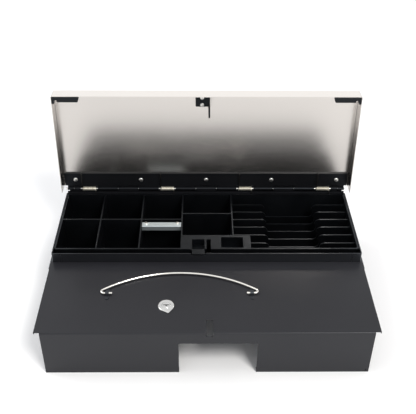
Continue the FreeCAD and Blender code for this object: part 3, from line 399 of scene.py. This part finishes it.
FINISHES = {
    "housing_paint": PowderCoat(
        "satin_black_coat", (0.006, 0.006, 0.007), (0.012, 0.012, 0.014),
        roughness=0.34, coat=0.2),
    "cover_paint": PowderCoat(
        "charcoal_coat", (0.0125, 0.0125, 0.015), (0.0195, 0.0195, 0.023),
        roughness=0.34, coat=0.05, gloss=0.28, tint=NEUTRAL),
    "lid_steel": BrushedSteel(
        "stainless_sheet", (0.53, 0.505, 0.48), (0.61, 0.58, 0.55),
        roughness=0.26, relief=0.06, wiping=0.15),
    "hinge_black": PowderCoat(
        "hinge_coat", (0.003, 0.003, 0.0035), (0.007, 0.007, 0.008),
        roughness=0.4, coat=0.0, gloss=0.2),
    "plated_steel": Plating(
        "zinc_plate", (0.66, 0.65, 0.62), (0.86, 0.85, 0.82), roughness=0.3),
    "spring_wire": Plating(
        "yellow_zinc", (0.5, 0.42, 0.2), (0.78, 0.72, 0.5), roughness=0.22),
    "tray_plastic": Moulding(
        "tray_moulding", (0.0018, 0.002, 0.0025), (0.003, 0.0033, 0.004),
        roughness=0.36, gloss=0.36),
    "bumper_plastic": Moulding(
        "bumper_moulding", (0.004, 0.004, 0.004), (0.009, 0.009, 0.009),
        roughness=0.55, gloss=0.25),
    "bar_steel": BrushedSteel(
        "bar_plate", (0.5, 0.56, 0.58), (0.66, 0.72, 0.74),
        roughness=0.36, relief=0.2, wiping=0.5, metal=0.75),
    "latch_steel": BrushedSteel(
        "latch_plate", (0.45, 0.45, 0.44), (0.62, 0.62, 0.6),
        roughness=0.34, grain=Grain.ALONG_Z),
    "coil_winding": Winding("coil_winding"),
    "switch_plastic": Moulding(
        "switch_moulding", (0.02, 0.02, 0.02), (0.035, 0.035, 0.035), roughness=0.4),
    "rubber": Moulding(
        "foot_rubber", (0.008, 0.008, 0.008), (0.02, 0.02, 0.02),
        roughness=0.8, texture=700.0),
    "socket_plastic": Moulding(
        "socket_moulding", (0.01, 0.01, 0.011), (0.02, 0.02, 0.021), roughness=0.42),
    "handle_wire": Plating(
        "handle_plate", (0.78, 0.76, 0.72), (0.94, 0.92, 0.88), roughness=0.16),
    "lug_steel": PowderCoat(
        "lug_coat", (0.008, 0.008, 0.009), (0.018, 0.018, 0.02), roughness=0.4, coat=0.1),
    "lock_chrome": Plating(
        "lock_chrome", (0.56, 0.56, 0.56), (0.74, 0.74, 0.73), roughness=0.12),
}
# One plated spring wire, with a painted highlight on the coil and painted shade on the arms.
PAINTED_HIGHLIGHT_COIL = CoilWire("painted_highlight_coil", (0.012, 0.011, 0.01), (0.8, 0.76, 0.64),
                       middle=95.1 * MM, front=79.0 * MM)
CONTACT_GOLD = Plating("contact_gold", (0.72, 0.5, 0.18), (0.9, 0.68, 0.3), roughness=0.16)


class Paint:
    """Makes each finish once and puts it on CAD nodes and pieces."""

    def __init__(self) -> None:
        self.made: dict[str, bpy.types.Material] = {}
        self.slots = {part["node"]: part["material_slot"]
                      for part in frame["record"]["subparts"]}

    def finish(self, slot: str) -> bpy.types.Material:
        """Returns the material of a slot."""
        if slot not in self.made:
            self.made[slot] = FINISHES[slot].build()
            log.info("finish %s", slot)
        return self.made[slot]

    def nodes(self) -> None:
        """Paints every CAD node with the finish of its slot."""
        for name, item in frame["nodes"].items():
            material = self.finish(self.slots[name])
            if item.data.materials:
                for slot in item.material_slots:
                    slot.material = material
            else:
                item.data.materials.append(material)


@dataclass
class Piece:
    """A mesh piece of the object.

    Args:
        name: Name of the piece.
        slot: Material slot of the record.
        body: CAD body that it rides on, or nothing for a piece that rides on none.
        stands_for: CAD nodes that it replaces.
    """

    name: str
    slot: str
    body: str
    stands_for: Sequence[str] = ()

    def add(self, shape: bmesh.types.BMesh, paint: Paint,
            material: bpy.types.Material | None = None) -> bpy.types.Object:
        """Turns a finished bmesh into an object that rides on its body.

        Args:
            shape: The shape in metres; it is used up.
            paint: The finishes.
            material: A finish of its own, where it isn't the slot's.

        Returns:
            The object.
        """
        bmesh.ops.remove_doubles(shape, verts=shape.verts, dist=MERGE_REACH)
        bmesh.ops.recalc_face_normals(shape, faces=shape.faces)
        mesh = bpy.data.meshes.new(self.name)
        shape.to_mesh(mesh)
        shape.free()
        mesh.shade_smooth()
        mesh.set_sharp_from_angle(angle=SMOOTH_BELOW)
        item = bpy.data.objects.new(self.name, mesh)
        bpy.context.scene.collection.objects.link(item)
        mesh.materials.append(material or paint.finish(self.slot))
        flat = item.modifiers.new("flat_faces", "WEIGHTED_NORMAL")
        flat.keep_sharp = True
        flat.weight = LARGE_FACES_FIRST
        if self.stands_for:
            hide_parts(*self.stands_for)
        if self.body:
            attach(item, self.body)
        log.info("piece %s: %d faces", self.name, len(mesh.polygons))
        return item


def corners_of(node: str) -> tuple[Vector, Vector]:
    """Returns the lowest and the highest corner of a CAD node at rest."""
    low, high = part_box(node)
    return Vector(low), Vector(high)


def wire(path: Sequence[Vector], radius: float, rounds: int = 4) -> bmesh.types.BMesh:
    """Draws a round wire along a path, with flat closed ends.

    Args:
        path: Points in metres.
        radius: Radius of the wire in metres.
        rounds: Resolution of the section.

    Returns:
        The wire as a bmesh.
    """
    curve = bpy.data.curves.new("wire", "CURVE")
    curve.dimensions = "3D"
    curve.bevel_depth = radius
    curve.bevel_resolution = rounds
    curve.use_fill_caps = True
    spline = curve.splines.new("POLY")
    spline.points.add(len(path) - 1)
    for point, place in zip(spline.points, path):
        point.co = (*place, 1.0)
    item = bpy.data.objects.new("wire", curve)
    bpy.context.scene.collection.objects.link(item)
    mesh = bpy.data.meshes.new_from_object(item)
    shape = bmesh.new()
    shape.from_mesh(mesh)
    bpy.data.objects.remove(item)
    bpy.data.curves.remove(curve)
    bpy.data.meshes.remove(mesh)
    return shape


def rounded(points: Sequence[Vector], bend: float, steps: int = 6) -> list[Vector]:
    """Puts a round bend at each inner corner of a run.

    Args:
        points: Corners of the run in metres.
        bend: Radius of a bend in metres.
        steps: Pieces per bend.

    Returns:
        The points of the run with its bends.
    """
    nearly_half = 0.49
    result = [points[0]]
    for before, corner, after in zip(points, points[1:], points[2:]):
        back = (before - corner).normalized()
        ahead = (after - corner).normalized()
        half = back.angle(ahead) / 2
        reach = min(bend / math.tan(half), (before - corner).length * nearly_half,
                    (after - corner).length * nearly_half)
        for step in range(steps + 1):
            share = step / steps
            first = corner + back * reach * (1 - share)
            second = corner + ahead * reach * share
            result.append(first.lerp(second, share))
    result.append(points[-1])
    return result


def join(target: bmesh.types.BMesh, extra: bmesh.types.BMesh) -> None:
    """Moves one bmesh into another.

    Args:
        target: The bmesh that grows.
        extra: The bmesh that is used up.
    """
    mesh = bpy.data.meshes.new("join")
    extra.to_mesh(mesh)
    extra.free()
    target.from_mesh(mesh)
    bpy.data.meshes.remove(mesh)


def merged_copy(node: str) -> bmesh.types.BMesh:
    """Returns a copy of a CAD node's mesh with its triangles joined into flat faces."""
    shape = bmesh.new()
    shape.from_mesh(frame["nodes"][node].data)
    bmesh.ops.remove_doubles(shape, verts=shape.verts, dist=MERGE_REACH)
    bmesh.ops.dissolve_limit(shape, angle_limit=FLAT_BELOW, verts=shape.verts,
                             edges=shape.edges)
    return shape


def soften(shape: bmesh.types.BMesh, width: float,
           chosen: Callable[[bmesh.types.BMEdge], bool]) -> None:
    """Rounds the sharp edges that pass a test.

    Args:
        shape: The shape to change.
        width: Width of the round in metres.
        chosen: Test of an edge that two faces share.
    """
    edges = [edge for edge in shape.edges
             if len(edge.link_faces) == 2 and edge.calc_face_angle() > CORNER_ABOVE
             and chosen(edge)]
    bmesh.ops.bevel(shape, geom=edges, offset=width, offset_type="OFFSET", affect="EDGES",
                    segments=2, profile=0.5, material=-1, clamp_overlap=True)


@dataclass(frozen=True)
class PanHead:
    """Sizes of a pan-head screw in millimetres.

    Args:
        radius: Radius of the head.
        height: Height of the head.
        shank: Radius of the shank.
        length: Length of the shank.
    """

    radius: float
    height: float
    shank: float
    length: float


RAIL_SCREW = PanHead(radius=3.4, height=2.0, shank=1.95, length=1.1)
STRIKER_SCREW = PanHead(radius=3.0, height=1.8, shank=1.6, length=7.0)
BAR_SCREW = PanHead(radius=2.7, height=1.8, shank=1.18, length=9.0)


@dataclass
class CrossScrews:
    """Pan-head screws with a cross recess, in place of one CAD node.

    Args:
        name: Name of the piece.
        node: CAD node that it replaces.
        body: CAD body that it rides on.
        seats: Where the heads sit, in metres.
        way: The way the heads look.
        size: Sizes of each screw.
        dome: Outline of a head, in shares of its radius and height.
        arm: Half the width of the cross, as a share of the head's radius.
        reach: Half the length of the cross, as a share of the head's radius.
        depth: Depth of the cross, as a share of the head's height.
        taper: Size of the cross at its floor, as a share of that at the top.
        sides: Sides of the round.
        first_turn: Turn of the first screw in degrees.
        next_turn: How much further each next one is turned, in degrees.
    """

    name: str
    node: str
    body: str
    seats: Sequence[Vector]
    way: Vector
    size: PanHead
    dome: Sequence[tuple[float, float]] = ((1.0, 0.45), (0.93, 0.72), (0.8, 0.9), (0.6, 1.0))
    arm: float = 0.11
    reach: float = 0.5
    depth: float = 0.55
    taper: float = 0.7
    sides: int = 24
    first_turn: float = 20.0
    next_turn: float = 37.0

    def screw(self) -> bmesh.types.BMesh:
        """Returns one screw that stands on the origin with its head up."""
        shape = bmesh.new()
        size = self.size
        profile = [(0.0, -size.length), (size.shank, -size.length), (size.shank, 0.0),
                   (size.radius, 0.0)]
        profile += [(size.radius * across, size.height * up) for across, up in self.dome]
        verts = [shape.verts.new((across * MM, 0.0, up * MM)) for across, up in profile]
        edges = [shape.edges.new(pair) for pair in zip(verts, verts[1:])]
        bmesh.ops.spin(shape, geom=verts + edges, cent=(0, 0, 0), axis=(0, 0, 1),
                       angle=math.tau, steps=self.sides, use_merge=True, use_duplicate=False)
        bmesh.ops.remove_doubles(shape, verts=shape.verts, dist=MERGE_REACH)
        rim = [edge for edge in shape.edges if edge.is_boundary]
        self.recess(shape, rim)
        return shape

    def recess(self, shape: bmesh.types.BMesh, rim: Sequence[bmesh.types.BMEdge]) -> None:
        """Closes the top of a head with a cross-shaped pocket.

        Args:
            shape: The screw, open at its top.
            rim: Edges of the opening.
        """
        size = self.size
        arm, reach = size.radius * self.arm * MM, size.radius * self.reach * MM
        outline = []
        for quarter in range(4):
            turn = Matrix.Rotation(quarter * math.pi / 2, 3, "Z")
            for corner in ((arm, arm), (reach, arm), (reach, -arm)):
                place = turn.inverted() @ Vector((*corner, size.height * MM))
                outline.append(shape.verts.new(place))
        cross = [shape.edges.new(pair) for pair in zip(outline, outline[1:] + outline[:1])]
        bmesh.ops.bridge_loops(shape, edges=list(rim) + cross)
        grown = bmesh.ops.extrude_edge_only(shape, edges=cross)["geom"]
        floor_verts = [part for part in grown if isinstance(part, bmesh.types.BMVert)]
        floor_edges = [part for part in grown if isinstance(part, bmesh.types.BMEdge)
                       and all(vert in floor_verts for vert in part.verts)]
        bmesh.ops.scale(shape, vec=(self.taper, self.taper, 1.0), verts=floor_verts)
        bmesh.ops.translate(shape, vec=(0, 0, -size.height * self.depth * MM),
                            verts=floor_verts)
        bmesh.ops.contextual_create(shape, geom=floor_edges)

    def build(self, paint: Paint) -> None:
        """Places a screw in each seat, each turned a little further than the last."""
        lean = Vector((0, 0, 1)).rotation_difference(self.way).to_matrix().to_4x4()
        whole = bmesh.new()
        for index, seat in enumerate(self.seats):
            one = self.screw()
            turn = math.radians(self.first_turn + self.next_turn * index)
            spin = Matrix.Rotation(turn, 4, "Z")
            bmesh.ops.transform(one, matrix=Matrix.Translation(seat) @ lean @ spin,
                                verts=one.verts)
            join(whole, one)
        Piece(self.name, "plated_steel", self.body, (self.node,)).add(whole, paint)


@dataclass
class Hinge:
    """The hinge line with its springs and the screws that the open lid shows.

    Args:
        paint: The finishes.
        springs: Number of springs.
        turns: Turns of a coil.
        turn_steps: Straight pieces per turn.
        wire: Radius of the spring wire.
        coil: Radius of a coil, to the middle of its wire.
        end_gap: Room between a spring and each end of its CAD node.
        tip: Tip of the upper arm, behind the coil's front and below the node's top.
        neck: Bend of the upper arm below its tip, counted in the same way.
        arm_rise: Height above the hinge line where the upper arm stands upright.
        arm_bend: Radius of the bends of the upper arm.
        wall_drop: Depth below the hinge line where the lower arm meets the wall.
        foot_rise: Height of the lower arm's end above the bottom of the CAD node.
        wall_bend: Radius of the bend of the lower arm.
        opening: Angle between the closed and the open lid.
        screw_places: Places of the rail's screws along the hinge, in millimetres.
        screw_seat: Seat of the rail's screws on the closed lid, in millimetres.
        striker_x: Place of the striker along the hinge, in millimetres.
        striker_seats: Seats of the striker's screws on the closed lid, in millimetres.
    """

    paint: Paint
    springs: int = 4
    turns: int = 10
    turn_steps: int = 18
    wire: float = 0.8 * MM
    coil: float = 2.45 * MM
    end_gap: float = 0.2 * MM
    tip: tuple[float, float] = (3.6 * MM, 0.6 * MM)
    neck: tuple[float, float] = (0.2 * MM, 1.4 * MM)
    arm_rise: float = 8 * MM
    arm_bend: float = 1.2 * MM
    wall_drop: float = 4.8 * MM
    foot_rise: float = 0.4 * MM
    wall_bend: float = 1.5 * MM
    opening: float = math.radians(94)
    screw_places: Sequence[float] = (-210.0, -105.0, 0.0, 105.0, 210.0)
    screw_seat: tuple[float, float] = (-16.0, 1.3)
    striker_x: float = -7.0
    striker_seats: Sequence[tuple[float, float]] = ((-161.1, -4.6), (-149.5, -4.6))

    def line(self) -> Vector:
        """Returns the middle of the hinge line."""
        low, high = corners_of("hinge_rod")
        return (low + high) / 2

    def opened(self, across: float, seat: tuple[float, float]) -> Vector:
        """Returns the place of a point of the closed lid on the open lid.

        Args:
            across: Place along the hinge in millimetres.
            seat: Distance behind and above the hinge line of the closed lid, in millimetres.

        Returns:
            The place in metres.
        """
        turn = Matrix.Rotation(-self.opening, 3, "X")
        place = self.line() + turn @ (Vector((0.0, *seat)) * MM)
        return Vector((across * MM, place.y, place.z))

    def run(self, low: Vector, high: Vector, centre: Vector) -> list[Vector]:
        """Lays the line of one spring: upper arm, coil and lower arm.

        Args:
            low: Lowest corner of its CAD node.
            high: Highest corner of its CAD node.
            centre: Middle of the hinge line.

        Returns:
            The points of the line.
        """
        start = low.x + self.wire + self.end_gap
        end = high.x - self.wire - self.end_gap
        front = centre.y - self.coil
        top = high.z - self.wire
        upper = [Vector((start, front + behind, top - below))
                 for behind, below in (self.tip, self.neck)]
        upper += [Vector((start, front, centre.z + self.arm_rise)),
                  Vector((start, front, centre.z))]
        run = rounded(upper, self.arm_bend)
        count = self.turns * self.turn_steps
        for step in range(1, count + 1):
            angle = math.tau * step / self.turn_steps
            along = start + (end - start) * step / count
            run.append(Vector((along, centre.y - self.coil * math.cos(angle),
                               centre.z - self.coil * math.sin(angle))))
        wall = low.y + self.wire
        lower = [run[-1], Vector((end, wall, centre.z - self.wall_drop)),
                 Vector((end, wall, low.z + self.foot_rise))]
        return run + rounded(lower, self.wall_bend)[1:]

    def spring(self, index: int, finish: bpy.types.Material) -> None:
        """Builds one close-wound torsion spring in place of its CAD node.

        Args:
            index: Number of the spring, from 1.
            finish: Finish of its wire, with a painted highlight on the coil and painted shade
                on the arms.
        """
        node = f"lid_spring_{index}"
        low, high = corners_of(node)
        centre = self.line()
        shape = wire(self.run(low, high, centre), self.wire)
        item = Piece(f"wound_spring_{index}", "spring_wire", "", (node,)).add(
            shape, self.paint, finish)
        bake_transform(item)

    def build(self) -> None:
        """Builds the springs and the screws of the lid."""
        # Spring finish: painted highlight on the coil, painted shade on the arms.
        finish = PAINTED_HIGHLIGHT_COIL.build()
        for index in range(1, self.springs + 1):
            self.spring(index, finish)
        way = Matrix.Rotation(-self.opening, 3, "X") @ Vector((0, 0, -1))
        rail = [self.opened(across, self.screw_seat) for across in self.screw_places]
        CrossScrews("rail_cross_screws", "rail_screws", "lid", rail, way,
                    RAIL_SCREW).build(self.paint)
        striker = [self.opened(self.striker_x, seat) for seat in self.striker_seats]
        CrossScrews("striker_cross_screws", "striker_screws", "lid", striker, way,
                    STRIKER_SCREW).build(self.paint)


@dataclass(frozen=True)
class Moulded:
    """One of the touching nodes that the moulded tray is written as.

    Args:
        name: Name of its piece.
        node: CAD node that the piece replaces.
        seams: Planes where it meets its neighbours, each as an axis number and a place in
            millimetres.
    """

    name: str
    node: str
    seams: Sequence[tuple[int, float]]

    def in_seam(self, edge: bmesh.types.BMEdge) -> bool:
        """True for an edge that lies in one of the planes."""
        return any(all(abs(vert.co[axis] - place * MM) < SEAM_REACH for vert in edge.verts)
                   for axis, place in self.seams)


@dataclass
class Tray:
    """The moulded tray with rounded rims, and the screws of its catch bar.

    Args:
        paint: The finishes.
        round: Width of the rounding.
        lowest_rim: Height above which edges are rounded.
        shortest_rim: Length below which an edge is left alone.
        least_rise: Least upward share of the normal of an upward face.
        most_lean: Largest upward share of the normal of a wall.
        bar_screw_inset: Distance of a screw from its end of the bar, in millimetres.
        bar_screw_y: Place of the screws from front to back, in millimetres.
        parts: The nodes that the tray is written as.
    """

    paint: Paint
    round: float = 0.6 * MM
    lowest_rim: float = 50 * MM
    shortest_rim: float = 1.2 * MM
    least_rise: float = 0.3
    most_lean: float = 0.15
    bar_screw_inset: float = 6.1
    bar_screw_y: float = 0.4
    parts: Sequence[Moulded] = (
        Moulded("tray_shell", "insert_tray", ((0, -37.3), (0, 39.6), (1, -31.5))),
        Moulded("note_bay_shell", "tray_note_bay", ((0, 39.6), (0, 65.0), (1, -31.5))),
        Moulded("latch_bridge_shell", "tray_latch_bridge", ((0, -37.3), (1, -31.5))),
    )

    def is_rim(self, edge: bmesh.types.BMEdge) -> bool:
        """True for a long edge between an upward face and a wall, high in the tray."""
        lowest = min(vert.co.z for vert in edge.verts)
        if edge.calc_length() < self.shortest_rim or lowest < self.lowest_rim:
            return False
        rises = sorted(face.normal.z for face in edge.link_faces)
        return rises[1] > self.least_rise and abs(rises[0]) < self.most_lean

    def build(self) -> None:
        """Builds the softened tray and the bar's screws."""
        for part in self.parts:
            shape = merged_copy(part.node)
            soften(shape, self.round,
                   lambda edge: self.is_rim(edge) and not part.in_seam(edge))
            Piece(part.name, "tray_plastic", "tray", (part.node,)).add(shape, self.paint)
        low, high = corners_of("catch_bar")
        inset = self.bar_screw_inset * MM
        seats = [Vector((across, self.bar_screw_y * MM, high.z))
                 for across in (low.x + inset, high.x - inset)]
        CrossScrews("bar_cross_screws", "catch_bar_screws", "tray", seats,
                    Vector((0, 0, 1)), BAR_SCREW).build(self.paint)


@dataclass
class Cover:
    """The bright bail of the locking cover.

    Args:
        paint: The finishes.
        wire: Radius of the wire.
        bend: Radius of the end bends.
        leg: Length of the legs.
        rounds: Resolution of the wire's section.
        bend_steps: Straight pieces per end bend.
        bow_steps: Straight pieces of half the bow.
        searches: Rounds of the search for the angle where a bend meets the bow.
        first_turn: Angle where that search begins.
    """

    paint: Paint
    wire: float = 1.6 * MM
    bend: float = 3.6 * MM
    leg: float = 15.2 * MM
    rounds: int = 6
    bend_steps: int = 12
    bow_steps: int = 24
    searches: int = 60
    first_turn: float = math.radians(50)

    def bow(self) -> list[Vector]:
        """Returns the line of the bail: a shallow bow, two end bends and two legs."""
        low, high = corners_of("bail_handle")
        middle = (low.x + high.x) / 2
        foot = Vector((low.x + self.wire, low.y + self.wire, low.z + self.wire))
        centre = foot + Vector((self.bend, self.bend, 0.0))
        peak = high.y - self.wire
        turn = self.first_turn
        for _ in range(self.searches):
            leave = centre + self.bend * Vector((-math.cos(turn), math.sin(turn), 0.0))
            rise = peak - leave.y
            half = middle - leave.x
            radius = (half * half + rise * rise) / (2 * rise)
            turn = math.pi / 2 - math.asin(half / radius)
        left = [foot + Vector((self.leg, 0.0, 0.0))]
        for step in range(self.bend_steps + 1):
            angle = -math.pi / 2 - (math.pi / 2 + turn) * step / self.bend_steps
            left.append(centre + self.bend * Vector((math.cos(angle), math.sin(angle), 0.0)))
        half_turn = math.asin(half / radius)
        for step in range(1, self.bow_steps + 1):
            angle = -half_turn + half_turn * step / self.bow_steps
            left.append(Vector((middle + radius * math.sin(angle),
                                peak - radius + radius * math.cos(angle), foot.z)))
        right = [Vector((2 * middle - point.x, point.y, point.z))
                 for point in reversed(left[:-1])]
        return left + right

    def build(self) -> None:
        """Builds the smooth bail in place of the faceted one."""
        shape = wire(self.bow(), self.wire, self.rounds)
        Piece("bright_bail", "handle_wire", "bail", ("bail_handle",)).add(shape, self.paint)


@dataclass
class Socket:
    """Sprung contact wires in the mouth of the cable socket.

    Args:
        paint: The finishes.
        centre_x: Middle of the comb, in millimetres.
        pitch: Distance between two wires, in millimetres.
        count: Number of wires.
        gauge: Radius of a wire.
        rounds: Resolution of a wire's section.
        ceiling: Distance of the wires below the top of the socket.
        mouth: Distance of their front ends from the rear face.
        neck: Distance of their bends from the rear face.
        root: Distance of their rear ends from the rear face.
        drop: Fall between bend and rear end.
        bend: Radius of the bends.
    """

    paint: Paint
    centre_x: float = 180.0
    pitch: float = 1.3
    count: int = 6
    gauge: float = 0.2 * MM
    rounds: int = 2
    ceiling: float = 2.0 * MM
    mouth: float = 3.0 * MM
    neck: float = 4.0 * MM
    root: float = 11.0 * MM
    drop: float = 4.0 * MM
    bend: float = 1.0 * MM

    def build(self) -> None:
        """Builds the comb of gilded wires."""
        low, high = corners_of("cable_socket")
        top = high.z - self.ceiling
        whole = bmesh.new()
        for index in range(self.count):
            across = (self.centre_x + self.pitch * (index - (self.count - 1) / 2)) * MM
            path = rounded([Vector((across, high.y - self.mouth, top)),
                            Vector((across, high.y - self.neck, top)),
                            Vector((across, high.y - self.root, top - self.drop))], self.bend)
            join(whole, wire(path, self.gauge, self.rounds))
        Piece("socket_contacts", "plated_steel", "housing").add(whole, self.paint,
                                                                CONTACT_GOLD.build())


@dataclass(frozen=True)
class Panel:
    """A soft panel light that looks at the object.

    Args:
        name: Name of the light.
        place: Its middle in metres.
        size: Width and height in metres.
        power: Watts.
        colour: Colour of the light.
    """

    name: str
    place: Sequence[float]
    size: tuple[float, float]
    power: float
    colour: Sequence[float] = WHITE


PANELS = (
    Panel("key", (0.9, -1.5, 2.2), (0.8, 0.8), 46.0, (1.0, 0.98, 0.95)),
    Panel("fill", (-1.7, 0.35, 1.8), (1.6, 1.6), 24.0),
    Panel("back", (0.0, 2.6, 1.15), (2.6, 0.8), 4.0),
)


@dataclass
class Stage:
    """Floor, lights, world and camera of the photograph.

    Args:
        floor_size: Side of the floor in metres.
        eye: Place of the camera from the part's origin, with its height above the table.
        pitch: How far the camera looks down.
        yaw: How far it looks to the right.
        roll: How far it is turned about its view.
        focal_px: Focal length in pixels of the photograph.
        sensor: Width of the sensor in millimetres.
        aim: Where the lights look, in metres.
        sky: Colour of the world's light.
        soft: Strength of the world's light.
    """

    floor_size: float = 12.0
    eye: Vector = field(default_factory=lambda: Vector((-12.2, -860.2, 760.2)) * MM)
    pitch: float = math.radians(36.58)
    yaw: float = math.radians(0.94)
    roll: float = math.radians(0.56)
    focal_px: float = 709.2
    sensor: float = 36.0
    aim: Sequence[float] = (0, 0, 0.05)
    sky: Sequence[float] = (0.96, 0.97, 1.0)
    soft: float = 0.7

    def table(self) -> float:
        """Height of the table that the feet stand on."""
        return FRAME_LOW[2]

    def camera(self) -> None:
        """Places the camera that the photograph's edges give."""
        ahead = Vector((math.sin(self.yaw) * math.cos(self.pitch),
                        math.cos(self.yaw) * math.cos(self.pitch), -math.sin(self.pitch)))
        right = Vector((math.cos(self.yaw), -math.sin(self.yaw), 0.0))
        up = right.cross(ahead)
        turned_right = right * math.cos(self.roll) + up * math.sin(self.roll)
        turned_up = up * math.cos(self.roll) - right * math.sin(self.roll)
        data = bpy.data.cameras.new("camera")
        data.sensor_fit = "HORIZONTAL"
        data.sensor_width = self.sensor
        data.lens = self.sensor * self.focal_px / PHOTO_WIDTH
        data.clip_start = 0.01
        item = bpy.data.objects.new("camera", data)
        axes = Matrix((turned_right, turned_up, -ahead)).transposed().to_4x4()
        place = self.eye + Vector((0, 0, self.table()))
        item.matrix_world = Matrix.Translation(place) @ axes
        bpy.context.scene.collection.objects.link(item)
        bpy.context.scene.camera = item

    def floor(self) -> None:
        """Adds the white floor, which keeps the object's shadow."""
        shape = bmesh.new()
        bmesh.ops.create_grid(shape, x_segments=1, y_segments=1, size=self.floor_size / 2)
        bmesh.ops.translate(shape, vec=(0, 0, self.table()), verts=shape.verts)
        mesh = bpy.data.meshes.new("floor")
        shape.to_mesh(mesh)
        shape.free()
        item = bpy.data.objects.new("floor", mesh)
        bpy.context.scene.collection.objects.link(item)
        recipe = Recipe("white_floor")
        recipe.set(Base_Color=recipe.blend(recipe.noise(scale=3.0), (0.93, 0.93, 0.93),
                                           (0.95, 0.95, 0.95)),
                   Roughness=0.9, Specular_IOR_Level=0.1)
        mesh.materials.append(recipe.material)

    def light(self, panel: Panel) -> None:
        """Adds one panel light."""
        data = bpy.data.lights.new(panel.name, "AREA")
        data.shape = "RECTANGLE"
        data.size, data.size_y = panel.size
        data.energy = panel.power
        data.color = panel.colour
        item = bpy.data.objects.new(panel.name, data)
        item.location = panel.place
        view = Vector(self.aim) - Vector(panel.place)
        item.rotation_euler = view.to_track_quat("-Z", "Y").to_euler()
        bpy.context.scene.collection.objects.link(item)

    def world(self) -> None:
        """Makes a world that looks white and lights more softly.

        The camera and bright metal see plain white. All other rays get the sky's colour.
        """
        world = bpy.data.worlds.new("world")
        world.use_nodes = True
        tree = world.node_tree
        tree.nodes.clear()
        seen = tree.nodes.new("ShaderNodeBackground")
        lit = tree.nodes.new("ShaderNodeBackground")
        seen.inputs["Color"].default_value = (*WHITE, 1.0)
        lit.inputs["Color"].default_value = (*self.sky, 1.0)
        lit.inputs["Strength"].default_value = self.soft
        path = tree.nodes.new("ShaderNodeLightPath")
        share = path.outputs["Is Camera Ray"]
        for name in ("Is Glossy Ray", "Is Transmission Ray"):
            larger = tree.nodes.new("ShaderNodeMath")
            larger.operation = "MAXIMUM"
            tree.links.new(share, larger.inputs[0])
            tree.links.new(path.outputs[name], larger.inputs[1])
            share = larger.outputs[0]
        mix = tree.nodes.new("ShaderNodeMixShader")
        output = tree.nodes.new("ShaderNodeOutputWorld")
        tree.links.new(share, mix.inputs[0])
        tree.links.new(lit.outputs[0], mix.inputs[1])
        tree.links.new(seen.outputs[0], mix.inputs[2])
        tree.links.new(mix.outputs[0], output.inputs["Surface"])
        bpy.context.scene.world = world

    def build(self) -> None:
        """Builds the whole stage."""
        self.camera()
        self.floor()
        self.world()
        for panel in PANELS:
            self.light(panel)
        bpy.context.scene.view_settings.view_transform = "Standard"


def main() -> None:
    """Builds the scene."""
    Stage().build()
    paint = Paint()
    paint.nodes()
    for part in (Hinge(paint), Tray(paint), Cover(paint), Socket(paint)):
        part.build()


if __name__ == "__main__":
    main()
